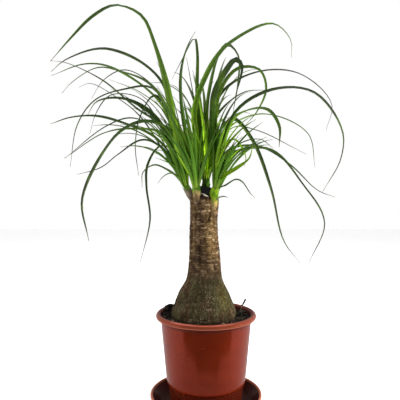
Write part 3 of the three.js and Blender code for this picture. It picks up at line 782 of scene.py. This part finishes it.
def saucer_shell():
    lip, base = SAUCER_LIP_RADIUS, SAUCER_BASE_RADIUS
    top, floor = SAUCER_HEIGHT, SAUCER_FLOOR
    inner = lip - SAUCER_WALL * 2
    outline = [
        (HUB, UNDERSIDE_RISE), (base - 12, UNDERSIDE_RISE), (base - 10, 0), (base - 2, 0), (base, 1.6),
        (lip - SAUCER_WALL, top - SAUCER_LIP), (lip, top - SAUCER_LIP + 0.6), (lip, top - 1),
        (lip - 1.2, top), (lip - 3, top), (inner, top - 1.2), (inner - 0.8, top - 3.2),
        (base - SAUCER_WALL + 1.5, floor + 3), (base - SAUCER_WALL - 3, floor),
        (SAUCER_RIDGE, floor), (SAUCER_RIDGE - 1, floor + RIDGE_HEIGHT),
        (SAUCER_RIDGE - 2.5, floor + RIDGE_HEIGHT), (SAUCER_RIDGE - 3.5, floor), (HUB, floor),
    ]
    saucer = drawn_round("saucer_shell", eased(outline, 0.8, 3))
    z = points_of(saucer)[:, 2]
    # Painted highlight on the lip, and painted shade darker towards the floor under the pot.
    mark(saucer, worn=0.6 * smooth(top - 3.4, top - 2, z), soiled=0.6 * smooth(floor + 8, floor, z))
    return saucer


def pot_shell():
    under_roll = RIM_CENTRE - RIM_UNDERSIDE
    core = RIM_RADIUS - RIM_ROLL
    outer = [
        (HUB, POT_BOTTOM + 1), (FOOT_RECESS_RADIUS, POT_BOTTOM + 1), (FOOT_RECESS_RADIUS + 1.5, POT_BOTTOM),
        (FOOT_BOTTOM_RADIUS - 2, POT_BOTTOM), (FOOT_BOTTOM_RADIUS, POT_BOTTOM + 2),
        (FOOT_TOP_RADIUS, FOOT_TOP - 1), (FOOT_TOP_RADIUS + 0.6, FOOT_TOP),
        (pot_radius(FOOT_TOP), FOOT_TOP + 1.6),
        *[(pot_radius(z), z) for z in (60, 80, 100, 120, 135)],
        *[(pot_radius(under_roll - below), under_roll - below) for below in (8, 5, 2.5, 0)],
    ]
    inner = [
        (inside_radius(RIM_CENTRE - RIM_ROLL), RIM_CENTRE - RIM_ROLL),
        *[(inside_radius(z), z) for z in (130, 100, 70)],
        (inside_radius(FOOT_TOP), FOOT_TOP),
        (FOOT_BOTTOM_RADIUS - POT_WALL, POT_FLOOR_TOP),
        (HUB, POT_FLOOR_TOP),
    ]
    roll = arc(core, RIM_CENTRE, RIM_ROLL, ROLL_START, ROLL_END, 26)
    pot = drawn_round("pot_shell", eased(outer, 1.2, 4) + roll + inner)
    for i in range(DRAIN_HOLES):
        spot = (DRAIN_CIRCLE * towards(i / DRAIN_HOLES * TAU) + (0, 0, POT_BOTTOM)) * MM
        begin()
        bpy.ops.mesh.primitive_cylinder_add(
            vertices=24, radius=DRAIN_RADIUS * MM, depth=POT_FLOOR * 6 * MM, location=spot
        )
        drill = bpy.context.object
        modified(pot, "BOOLEAN", object=drill, operation="DIFFERENCE", solver="EXACT")
        bpy.data.objects.remove(drill)
    x, y, z = points_of(pot).T
    radius = np.hypot(x, y)
    roll_top = smooth(RIM_CENTRE - 2.4, RIM_CENTRE - 1.4, z)
    inner_roll = smooth(core + 0.5, core - 1.5, radius) * roll_top
    # Painted shade, partly a soil stain: the inside wall and the inner side of the roll.
    inside = np.maximum(smooth(1.4, 0.6, radius - inside_radius(z)), inner_roll)
    near_rim = smooth(RIM_RADIUS - 3, RIM_RADIUS - 6, radius)
    # Painted shade: a band under the rim's overhang.
    under_rim_shade = smooth(under_roll - 9, under_roll - 1.5, z) * near_rim
    # Painted shade: the foot below the step.
    low = smooth(FOOT_TOP + 0.5, FOOT_TOP - 1, z)
    # Painted highlight: a light line along the roll's lower outer edge, and a lighter outer side of the
    # roll.
    edge = np.exp(-(((z - RIM_CENTRE + 2.3) / 0.7) ** 2)) * smooth(RIM_RADIUS - 4, RIM_RADIUS - 2, radius)
    roll_highlight = roll_top * smooth(core - 1, core + 1, radius)
    # The worn mark carries the painted highlight, and the other mark the painted shade.
    soiled = np.clip(0.9 * inside + under_rim_shade + 0.35 * low, 0, 1)
    mark(pot, worn=np.clip(0.5 * edge + 0.14 * roll_highlight, 0, 1), soiled=soiled)
    return pot


# Soil


def soil_height(x, y):
    lumps = np.sin(x / 5.3 + 1.3) * np.sin(y / 6.1) + 0.6 * np.sin(x / 3.1 - y / 4.3)
    away = (x - MOUND_X) ** 2 + (y - MOUND_Y) ** 2
    mound = MOUND_HEIGHT * np.exp(-away / (2 * MOUND_SPREAD**2))
    fine = 0.7 * lattice(x / 2.1, y / 2.1, 97, 61) + 0.4 * lattice(x / 0.9, y / 0.9, 101, 62)
    return SOIL_TOP + SOIL_LUMP * lumps + mound + fine


def soil_bed():
    edge_height = SOIL_TOP - SOIL_LUMP * 2
    edge = inside_radius(edge_height) - SOIL_GAP
    bottom = POT_FLOOR_TOP + SOIL_GAP
    outline = [(HUB, bottom), (FOOT_BOTTOM_RADIUS - POT_WALL - SOIL_GAP, bottom)]
    outline += [(inside_radius(FOOT_TOP) - SOIL_GAP, FOOT_TOP), (edge, edge_height)]
    outline += [(r, SOIL_TOP) for r in np.linspace(edge - 0.4, SOIL_INNER, SOIL_RINGS)] + [(HUB, SOIL_TOP)]
    bed = drawn_round("soil_bed", outline, SOIL_SIDES)
    points = points_of(bed)
    x, y, z = points.T
    top = z > SOIL_TOP - 0.5
    points[:, 2] = np.where(top, soil_height(x, y), z)
    place_points(bed, points)
    mark(bed, tone=0.25 + 0.2 * lattice(x / 4, y / 4, 89, 63) + 0.15 * lattice(x / 1.3, y / 1.3, 83, 64))
    return bed


def soil_crumbs():
    """Crumbs of peat and bits of bark, thickest round the foot of the trunk and on the mound."""
    begin()
    bpy.ops.mesh.primitive_ico_sphere_add(subdivisions=2, radius=1)
    ball = bpy.context.object
    round_points = points_of(ball) * MM
    rng = np.random.default_rng(CRUMB_SEED)
    crumbs = []
    for i in range(CRUMBS):
        on_mound = i % 6 == 0
        if on_mound:
            x, y = rng.normal(MOUND_X - 2, 6), rng.normal(MOUND_Y + 1, 7)
        else:
            bearing = rng.uniform(0, TAU)
            r = rng.uniform(*CRUMB_RING)
            x, y = r * math.cos(bearing) - 1.5, r * math.sin(bearing)
        if math.hypot(x + 4, y) <= CRUMB_INNER or math.hypot(x, y) > CRUMB_OUTER:
            continue
        front_left = x < -30 and -45 < y < -8
        chip = rng.uniform() < (0.4 if front_left else 0.14)
        size = rng.uniform(0.7, 1.5) if chip else 0.5 + (4 if on_mound else 2) * rng.uniform() ** 2
        spread = (2.6, 1.1, 0.5) if chip else rng.uniform(0.7, 1.15, 3)
        lumps = 1 + 0.22 * np.sin(round_points @ rng.uniform(-4, 4, (3, 3))).sum(axis=1)
        shape = round_points * lumps[:, None] * size * np.array(spread)
        a, b = rng.uniform(0, TAU), rng.normal(0, 0.35)
        turn = np.array([[math.cos(a), -math.sin(a), 0], [math.sin(a), math.cos(a), 0], [0, 0, 1]])
        tip = np.array([[math.cos(b), 0, math.sin(b)], [0, 1, 0], [-math.sin(b), 0, math.cos(b)]])
        centre = (x, y, float(soil_height(np.array([x]), np.array([y]))[0]) + 0.25 * size)
        tone = rng.uniform(0.6, 1.2) if chip else rng.uniform(0.05, 0.6) ** 1.3
        crumbs.append(copied(ball, "crumb", shape @ (turn @ tip).T + centre, tone=tone))
    bpy.data.objects.remove(ball)
    return joined("soil_crumbs", crumbs)


def rod(name, line, radii, sides=10):
    """A round rod along a line, with its own radius at each point."""
    line = np.asarray(line, float)
    ahead = unit(np.gradient(line, axis=0))
    piece = drawn_round(name, [(1, k) for k in range(len(line))], sides)
    ring = np.rint(points_of(piece)[:, 2]).astype(int)
    flat = points_of(piece)[:, :2]
    side = unit(np.cross(ahead, (0.3, 1.0, 0.1)))
    up = np.cross(ahead, side)
    reach = np.asarray(radii, float)[ring][:, None]
    place_points(piece, line[ring] + side[ring] * flat[:, :1] * reach + up[ring] * flat[:, 1:] * reach)
    pick(piece)
    bpy.ops.object.mode_set(mode="EDIT")
    bpy.ops.mesh.select_all(action="SELECT")
    bpy.ops.mesh.normals_make_consistent(inside=False)
    bpy.ops.object.mode_set(mode="OBJECT")
    return piece


def dry_twig():
    foot, lean = np.array(TWIG_FOOT, float), np.array(TWIG_LEAN, float)
    start = foot - unit(lean) * TWIG_SUNK
    shares = np.linspace(0, 1, 26)
    line = start + np.outer(shares, foot + lean - start)
    line[:, 0] += 0.9 * np.sin(shares * 9) * shares
    line[:, 1] += 0.7 * np.sin(shares * 7 + 1) * shares
    radii = TWIG_RADIUS * (0.65 + 1.25 * smooth(0.6, 0.7, shares) + 0.15 * np.sin(shares * 31))
    radii[-1] = 0.15
    stem = rod("dry_twig", line, radii)
    spur = smooth_line([line[15], line[15] + (-2.2, -1, 2.6), line[15] + (-3.6, -1.4, 5.8)], 8)
    side = rod("spur", spur, np.linspace(0.6, 0.2, 9), 8)
    twig = joined("dry_twig", [stem, side])
    mark(twig, dark=smooth(foot[2] + 11, foot[2] + 15, points_of(twig)[:, 2]))
    return twig


# Trunk


def cut_rise(x, y):
    """How far the tilted cut is above its middle."""
    along = (x - AXIS_X) * math.cos(CUT_BEARING) + y * math.sin(CUT_BEARING)
    return math.tan(CUT_TILT) * along


def trunk_rows():
    """Radius and axis of the trunk at each of many heights."""
    rows = smooth_line([(radius, x, z) for z, radius, x in TRUNK_PROFILE], 400)
    return rows[:, 2], rows[:, 0], rows[:, 1]


def patch(bearing, z, middle, half_width, power, strength, *heights):
    """How much of a patch of the bark is at a place, from 0 to its strength."""
    share = strength * np.exp(-(((bearing - middle) / half_width) ** power))
    for low, high in heights:
        share = share * smooth(low, high, z)
    return share


def bark_surface(bearing, z):
    """The relief of the bark in millimetres, and the marks that its material reads."""
    turn = bearing / TAU

    def grain(around, height, seed, shift=0):
        """Soft noise, with so many waves round the trunk and each so many millimetres high."""
        return lattice(turn * around + shift, z / height, around, seed)

    stem = smooth(STEM_START, STEM_FULL, z + 5 * grain(9, 14, 21))
    ribs = np.sin(bearing * 9 + 0.9 * np.sin(z / 31)) + 0.6 * np.sin(bearing * 14 + z / 19)
    lumps = np.sin(bearing * 3 + z / 23) + np.sin(bearing * 5 - z / 15)
    broad = BARK_RIBS * ribs + BARK_LUMPS * lumps
    # Scars of old leaves: flat plates, wider than high
    wander = 2.4 * grain(5, 30, 22) + 0.8 * grain(19, 11, 23)
    across = turn * SCARS_AROUND + 0.28 * grain(20, 8, 24)
    gap, scar_tone = plates(across, (z + wander) / SCAR_HEIGHT, SCARS_AROUND, 25)
    scars = smooth(0.02, 0.46, gap)
    # Fissures of the swollen foot: narrow plates, higher than wide
    across = turn * FISSURES_AROUND + 0.5 * grain(26, 17, 26)
    gap, foot_tone = plates(across, z / FISSURE_LENGTH, FISSURES_AROUND, 27)
    fissures = smooth(0.0, 0.36, gap)
    # Long furrows up the stem, and the deep one at its front
    run = grain(13, 70, 29, 0.35 * grain(6, 22, 28))
    furrow = smooth(0.16, 0.02, np.abs(run)) * smooth(-0.3, 0.5, grain(8, 25, 30))
    front = np.degrees(bearing) % 360
    bent = front - 5 * lattice(turn * 0, z / 16, 3, 31)
    furrow = np.maximum(furrow * stem, patch(bent, z, *DEEP_FURROW))
    fine = grain(120, 1.5, 32)
    rough = grain(60, 3.1, 33)
    plate = lerp(fissures * 0.55, scars * 0.9, stem)
    relief = broad + plate - 0.8 - 1.6 * furrow + 0.16 * fine + 0.28 * rough
    flakes = sum(patch(front, z, *place) for place in FLAKE_PATCHES)
    cracks = np.clip(lerp(1 - fissures, 1 - scars, stem) * 0.75 + furrow * 0.8, 0, 1)
    blot = smooth(-0.1, 0.8, -grain(6, 18, 34))
    shaded = patch(front, z, *SHADED_PATCH)
    marks = {
        "crack": cracks * lerp(0.55, 0.8, stem),
        "tone": np.clip(lerp(foot_tone, scar_tone, stem) * 0.75 + 0.25 * (0.5 + 0.5 * rough), 0, 1),
        "stem": stem,
        "tan": np.max([patch(front, z, *place) for place in TAN_PATCHES], axis=0),
        "moss": patch(front, z, *MOSS_PATCH),
        "flake": np.clip(flakes, 0, 1),
        # The dark mark: darker towards the soil line, random dark blots, and painted shade on the stem's
        # left side.
        "dark": np.clip(smooth(160, 150, z) * 0.55 + 0.4 * blot + shaded, 0, 1),
    }
    return relief, marks


def trunk_bark():
    heights, radii, axes = trunk_rows()
    rings = np.linspace(TRUNK_PROFILE[0][0], TRUNK_PROFILE[-1][0], TRUNK_RINGS)
    outline = [(6, 109.2), (26, 109.6)]
    outline += [(float(np.interp(z, heights, radii)), float(z)) for z in rings]
    outline += [(TOP_RADIUS * 1.03, CUT_HEIGHT - 6), (TOP_RADIUS * 0.97, CUT_HEIGHT - 1.2)]
    outline += [(TOP_RADIUS * 0.72, CUT_HEIGHT + 0.8), (5, CUT_HEIGHT + 0.5)]
    trunk = drawn_round("trunk_bark", outline, TRUNK_SIDES)
    modified(trunk, "SUBSURF", levels=2, render_levels=2)
    points = points_of(trunk)
    x, y, z = points.T.copy()
    radius = np.hypot(x, y)
    bearing = np.arctan2(y, x) % TAU
    relief, marks = bark_surface(bearing, z)
    full = np.interp(z, heights, radii)
    wall = smooth(0.62, 0.9, radius / full)
    out = radius + relief * wall
    points[:, 0] = out * np.cos(bearing) + np.interp(z, heights, axes)
    points[:, 1] = out * np.sin(bearing)
    top = smooth(CUT_HEIGHT - 17, CUT_HEIGHT - 6, z)
    ripple = 1.1 * lattice(x / 5, y / 5, 53, 35) + 0.5 * lattice(x / 2, y / 2, 59, 36)
    points[:, 2] = z + top * cut_rise(points[:, 0], points[:, 1]) + (1 - wall) * top * ripple
    place_points(trunk, points)
    seal = top * smooth(0.97, 0.86, radius / TOP_RADIUS)
    mark(trunk, seal=np.clip(seal + 0.6 * smooth(CUT_HEIGHT - 10, CUT_HEIGHT - 3, z), 0, 1), **marks)
    return trunk


def dry_strip(name, line, width):
    """A narrow dry flake or leaf stub along a line, with rounded ends."""
    line = smooth_line(line, STRIP_STEPS)
    strip = flat_strip(name, 4, STRIP_STEPS, 1)
    s, t, n = (points_of(strip) * MM).T
    k = np.rint(t * STRIP_STEPS).astype(int)
    ahead = unit(np.gradient(line, axis=0))
    side = unit(np.cross(ahead, (0, -1, 0.4)))
    up = np.cross(side, ahead)
    half = width / 2 * np.sin(np.linspace(0.25, math.pi - 0.2, STRIP_STEPS + 1))[k]
    points = line[k] + side[k] * (s * half)[:, None] + up[k] * (n * 0.7 - 0.3 * s * s)[:, None]
    place_points(strip, points)
    return strip


def dry_bits():
    flake = dry_strip("dry_bits", FLAKE_LINE, 2.6)
    mark(flake, pale=1.0)
    stub = dry_strip("stub", STUB_LINE, 2.2)
    mark(stub, pale=0.3)
    return joined("dry_bits", [flake, stub])


# Leaves


def leaf_width(width, share, hold):
    """The width at a share of the length: narrower at the foot, and down to nothing at the tip."""
    foot = 0.55 + 0.45 * np.sin(np.minimum(share / 0.28, 1) * math.pi / 2)
    return width * foot * (1 - share**hold) ** 0.9


def root_of(head, age, bearing):
    """Where a leaf grows from: the middle of the shoot when young, lower on its own side when old."""
    top = np.array(head.top, float)
    up = unit(top - np.array(head.foot, float))
    root = top - up * (ROOT_SINK + ROOT_DROP * age)
    return root + ROOT_SPREAD * age * towards(bearing), up


def traced_line(depth, via, head, age, rise):
    """The line of a leaf through points as they appear from EYE, on its way to the depth of its tip."""
    bearing = math.atan2(depth - head.top[1], via[-1][0] - head.top[0])
    root, up = root_of(head, age, bearing)
    flat = np.array([(x, 0, z) for x, z in via], float)
    before = np.vstack([(root[0], 0, root[2]), flat[:-1]])
    run = np.cumsum(np.linalg.norm(flat - before, axis=1))
    depths = lerp(root[1], depth, run / run[-1])
    carried = EYE + (flat - EYE) * ((depths - EYE[1]) / -EYE[1])[:, None]
    launch = root + unit(up + unit(carried[0] - root)) * rise
    return smooth_line([root, launch, *carried], TRACED_STEPS)


def fill_line(head, age, draw, bearing, lengths, starts, ends):
    """The line of a leaf that leans over more and more towards its tip."""
    root, _ = root_of(head, age, bearing)
    length = lerp(*lengths, next(draw))
    start = math.radians(lerp(*starts, age) + 6 * (next(draw) - 0.5))
    end = math.radians(lerp(*ends, 0.5 * age + 0.5 * next(draw)))
    bend = lerp(1.1, 1.9, next(draw))
    swing = math.radians(30) * (next(draw) - 0.5)
    share = (np.arange(RULE_STEPS) + 0.5) / RULE_STEPS
    lean = start + (end - start) * share**bend
    heading = bearing + swing * share * share
    steps = np.stack([np.sin(lean) * np.cos(heading), np.sin(lean) * np.sin(heading), np.cos(lean)], axis=1)
    return np.vstack([root, root + np.cumsum(steps * length / RULE_STEPS, axis=0)])


def keep_in_sector(line, sector, margin):
    """Keeps a line's points at least `margin` inside the planes that bound a head's sector."""
    walls = [(math.radians(sector[0]), 1), (math.radians(sector[1]), -1)]
    for _ in range(3):
        for angle, side in walls:
            normal = np.array((-math.sin(angle) * side, math.cos(angle) * side))
            distance = (line[:, :2] - (AXIS_X, 0)) @ normal
            kept = (distance + margin + np.hypot(distance - margin, SECTOR_ROUNDING)) / 2
            line[:, :2] += (kept - distance)[:, None] * normal
    return line


def leaves_by_rule(head, rule, draw, age_span=(0, 1)):
    """Leaves spread over the bearings of a rule, from the youngest to the oldest."""
    count, bearings, *spans, widths = rule
    leaves = []
    for i in range(count):
        bearing = math.radians(lerp(*bearings, (i * GOLDEN + 0.3) % 1))
        age = lerp(*age_span, (i + 0.5) / count)
        line = fill_line(head, age, draw, bearing, *spans)
        width = lerp(*widths, next(draw))
        turn = (60 * (next(draw) - 0.5), 90 * (next(draw) - 0.5))
        leaves.append((line, width, turn, TAPER, age))
    return leaves


def leaves_of(name, order):
    """Every leaf of a head: its line, width, turn, hold of its width, and age."""
    head = HEADS[name]
    leaves = []
    for i, (depth, width, turn, via, *given) in enumerate(TRACED[name]):
        hold, rise = [*given, *(TAPER, LAUNCH_LENGTH)[len(given) :]]
        age = (i * GOLDEN + 0.5) % 1
        line = traced_line(depth, via, head, age, rise)
        leaves.append((line, width, turn, hold, AGES[name].get(i, age)))
    leaves += leaves_by_rule(head, FILL[name], park_miller(FILL_SEED + order))
    for line, width, _, hold, _ in leaves:
        share = np.linspace(0, 1, len(line))
        keep_in_sector(line, head.sector, leaf_width(width, share, hold) / 2 + SECTOR_MARGIN)
    return leaves + leaves_by_rule(head, YOUNG[name], park_miller(YOUNG_SEED + order), (0.1, 0.9))


def laid_blade(strip, line, width, turn, hold, phase):
    """The flat strip's points, laid along a leaf's line as a channelled blade with a fine tip."""
    s, t, n = strip
    share = np.linspace(0, 1, BLADE_STEPS + 1)
    run = np.concatenate([[0], np.cumsum(np.linalg.norm(np.diff(line, axis=0), axis=1))])
    centre = np.stack([np.interp(share, run / run[-1], column) for column in line.T], axis=1)
    ahead = unit(np.gradient(centre, axis=0))
    out = unit((line[-1] - line[0]) * (1, 1, 0) + (1e-6, 0, 0))
    across = np.cross((0, 0, 1), out)
    side = unit(across - (ahead @ across)[:, None] * ahead)
    up = np.cross(ahead, side)
    wobble = 9 * np.sin(share * 7 + phase) * share
    angle = np.radians(lerp(turn[0], turn[1], share) + wobble) * np.minimum(share / TURN_START, 1)
    cos, sin = np.cos(angle)[:, None], np.sin(angle)[:, None]
    side, up = side * cos + up * sin, up * cos - side * sin
    clasp = np.maximum(1 - share / 0.07, 0)
    half = np.maximum(leaf_width(width, share, hold) * (1 + 0.2 * clasp), FINEST_WIDTH) / 2
    rise = half * (lerp(0.7, 0.42, np.sqrt(share)) + 0.5 * clasp)
    thick = np.minimum(BLADE_THICKNESS, half)
    k = np.rint(t * BLADE_STEPS).astype(int)
    edge = np.abs(s)
    wave = 0.10 * half[k] * np.sin(t * 23 + phase * 3) * s
    lift = rise[k] * edge**1.4 + wave + n * thick[k] * (1 - 0.6 * edge)
    return centre[k] + side[k] * (s * half[k])[:, None] + up[k] * lift[:, None]


def leaf_head(name, order, master):
    flat = (points_of(master) * MM).T
    rng = np.random.default_rng(BLADE_SEED + order)
    blades = []
    for line, width, turn, hold, age in leaves_of(name, order):
        points = laid_blade(flat, line, width, turn, hold, rng.uniform(0, TAU))
        length = np.linalg.norm(np.diff(line, axis=0), axis=1).sum()
        reach = np.clip(flat[1] * length / FULL_REACH + OLDEST_REACH * (age >= 1), 0, 1)
        worn = np.clip(age + HEADS[name].darker + rng.normal(0, 0.18), 0, 1)
        blades.append(copied(master, "blade", points, tone=rng.uniform(0, 1), age=worn, reach=reach))
    return joined(f"leaves_{name}", blades)


def onto_neck(points, head):
    """Moves points from an upright neck at the origin onto a head's own neck."""
    base = np.array(head.foot, float)
    up = unit(np.array(head.top, float) - base)
    side = unit(np.cross((0, 1, 0), up))
    back = np.cross(up, side)
    return base + points[:, :1] * side + points[:, 1:2] * back + points[:, 2:] * up


def neck_with_sheaths(name, order, master):
    """A head's short stem, with the feet of its older leaves wrapped round it."""
    head = HEADS[name]
    length = float(np.linalg.norm(np.subtract(head.top, head.foot)))
    r = head.radius - SHEATH_DEPTH
    outline = [(1, -1), (r * 0.8, -0.6), (r, length * 0.3), (r * 1.02, length * 0.6)]
    outline += [(r * 0.86, length * 0.85), (r * 0.5, length), (1, length + 1.5)]
    neck = drawn_round("neck", eased(outline, 3, 3), 48)
    points = points_of(neck)
    bearing = np.arctan2(points[:, 1], points[:, 0]) % TAU
    ripple = 1 + 0.09 * lattice(bearing / TAU * 14, points[:, 2] / 3.2, 14, 70 + order)
    points[:, :2] *= ripple[:, None]
    place_points(neck, onto_neck(points, head))
    pieces = [neck]
    s, t, n = (points_of(master) * MM).T
    rng = np.random.default_rng(SHEATH_SEED + order)
    for i in range(SHEATHS):
        level = (i + 0.5) / SHEATHS
        middle = i * GOLDEN * TAU + rng.uniform(-0.2, 0.2)
        tall = rng.uniform(7, 13)
        spread = rng.uniform(0.4, 0.75) * (1 - t**2.2)
        angle = middle + s * spread
        height = length * (0.08 + 0.72 * level) + t * tall
        round_r = r * np.interp(height / length, (0, 0.3, 0.7, 1, 1.6), (0.95, 1.02, 1.02, 0.85, 0.8))
        lift = 0.5 + 1.1 * t**1.6 * rng.uniform(0.2, 1.2) + n * 0.6 * (1 - 0.5 * np.abs(s))
        reach = round_r + lift
        shape = np.stack([reach * np.cos(angle), reach * np.sin(angle), height], axis=1)
        pieces.append(copied(master, "sheath", onto_neck(shape, head)))
    for piece in pieces:
        wander = rng.normal(0, 2)
        high = points_of(piece)[:, 2]
        mark(
            piece,
            tone=rng.uniform(0, 1),
            fresh=np.clip(head.fresh + rng.normal(0, 0.12), 0, 1),
            age=np.clip(head.weathered + (head.green - high) / 28 + rng.normal(0, 0.1), 0, 1),
            dried=smooth(head.green + 4, head.green - 3, high + wander),
        )
    return joined(f"neck_{name}", pieces)


def moss_sprout(master):
    """A tuft of small green leaves on the soil."""
    s, t, n = (points_of(master) * MM).T
    rng = np.random.default_rng(SPROUT_SEED)
    leaves = []
    for i in range(SPROUT_LEAVES):
        reach, tall, half = rng.uniform(4.0, 7.4), rng.uniform(1.8, 5.0), rng.uniform(1.1, 2.0)
        out = towards(i * GOLDEN * TAU)
        side = np.cross((0, 0, 1), out)
        wide = half * np.sin(np.clip(t, 0.02, 0.97) * math.pi) ** 0.7
        points = np.array(SPROUT) + np.outer(reach * t, out) + np.outer(s * wide, side)
        points[:, 2] += tall * np.sin(t * 1.9) + n * 0.25
        leaves.append(copied(master, "sprout", points, tone=rng.uniform(0, 0.3), age=1.0, reach=1.0))
    return joined("moss_sprout", leaves)


# Assembly

pot_plastic = moulded_plastic("terracotta plastic", (0.080, 0.0088, 0.0021), (0.070, 0.0072, 0.0018), 2.2)
# The saucer's base colour is darker than the pot's plastic: painted shade under the pot.
saucer_plastic = moulded_plastic("saucer plastic", (0.052, 0.007, 0.0025), (0.036, 0.005, 0.002), 1.18)
earth = peat()
bark = palm_bark()
green = leaf_blade()
sheath_skin = leaf_sheath()
wood = dried_wood()

settle(saucer_shell(), saucer_plastic, "saucer_plastic", "saucer", angle=30)
settle(pot_shell(), pot_plastic, "pot_plastic", "pot", angle=30)
settle(soil_bed(), earth, "soil", "soil", angle=60)
settle(soil_crumbs(), earth, "soil", angle=60)
settle(dry_twig(), wood, "dry_wood", "twig")
settle(trunk_bark(), bark, "bark", "trunk", angle=70)
settle(dry_bits(), dried_flake(), "dry_wood")

blade_master = flat_strip("blade_master", 4, BLADE_STEPS, 1)
sheath_master = flat_strip("sheath_master", 6, 10, 1)
for order, name in enumerate(HEADS):
    settle(leaf_head(name, order, blade_master), green, "leaf", f"head_{name}", angle=60)
    settle(neck_with_sheaths(name, order, sheath_master), sheath_skin, "bark", angle=60)
settle(moss_sprout(sheath_master), green, "leaf", angle=60)
bpy.data.objects.remove(blade_master)
bpy.data.objects.remove(sheath_master)


# Studio

FLOOR_SIZE = 9
LENS = 39.6
SENSOR = 36
# The light tent and its dark opening, as spans from one height to another and the values there. A
# height is the sine of the angle above level. The opening's middle and half width are angles from the
# front, in radians.
TENT_FOOT = (-0.54, -0.45, 0.46, 0.66)
TENT_TOP = (-0.1, 0.2, 1, 0.6)
OPENING_MIDDLE = 0.06
OPENING_HALF = (-0.53, -0.455, 0.5, 1.13)
OPENING_BLUR = 0.07
OPENING_FOOT = (-0.54, -0.53)
OPENING_TOP = (0.86, 0.74)
OPENING_DEPTH = 0.96


def studio_floor():
    begin()
    bpy.ops.mesh.primitive_plane_add(size=FLOOR_SIZE, location=(0, 0, -0.0003))
    floor = bpy.context.object
    floor.name = "studio_floor"
    floor.visible_glossy = False
    floor.data.materials.append(new_look("studio floor").finish((0.93, 0.93, 0.93, 1), 0.9))


def placed(name, data, spot=(0, 0, 0), target=(0, 0, -1)):
    """A lamp or camera at a spot, which faces a target."""
    thing = bpy.data.objects.new(name, data)
    bpy.context.collection.objects.link(thing)
    thing.location = spot
    thing.rotation_euler = (Vector(target) - Vector(spot)).to_track_quat("-Z", "Y").to_euler()
    return thing


def skylight(strength, spread):
    """Soft even light from above."""
    light = bpy.data.lights.new("top", "SUN")
    light.energy = strength
    light.angle = math.radians(spread)
    placed("top", light).rotation_euler = (math.radians(-8), math.radians(-6), 0)


def softbox(name, spot, target, size, power):
    """A square area light that faces a target."""
    light = bpy.data.lights.new(name, "AREA")
    light.shape = "SQUARE"
    light.size = size
    light.energy = power
    placed(name, light, spot, target).visible_glossy = False


def tent_world():
    """A white light tent, with its dark opening in front of the plant."""
    world = bpy.data.worlds.new("light tent")
    bpy.context.scene.world = world
    look = Look(world)
    x, y, z = look.parts(look.node("TexCoord", output="Generated"))
    bearing = look.node("Math", {"operation": "ARCTAN2"}, {0: x, 1: y * -1.0})
    inside = z.span(*OPENING_HALF) - abs(bearing - OPENING_MIDDLE)
    opening = inside.span(-OPENING_BLUR, OPENING_BLUR) * z.span(*OPENING_FOOT) * z.span(*OPENING_TOP)
    level = z.span(*TENT_FOOT) * z.span(*TENT_TOP) * (1.0 - opening * OPENING_DEPTH)
    seen = look.node("LightPath", output="Is Camera Ray")
    strength = level + (1.0 - level) * seen
    shader = look.node("Background", sockets={"Color": (1, 1, 1, 1), "Strength": strength})
    look.node("OutputWorld", sockets={"Surface": shader})


def camera():
    data = bpy.data.cameras.new("front")
    data.lens = LENS
    data.sensor_width = data.sensor_height = SENSOR
    x, y, z = EYE * MM
    bpy.context.scene.camera = placed("front", data, (x, y, z), (x, 0, z))


studio_floor()
skylight(2.3, 70)
softbox("right", (1.5, -0.25, 0.7), (0, 0, 0.3), 1.1, 74)
softbox("left", (-1.5, -0.25, 0.7), (0, 0, 0.3), 1.1, 32)
tent_world()
camera()
bpy.context.scene.view_settings.view_transform = "Standard"
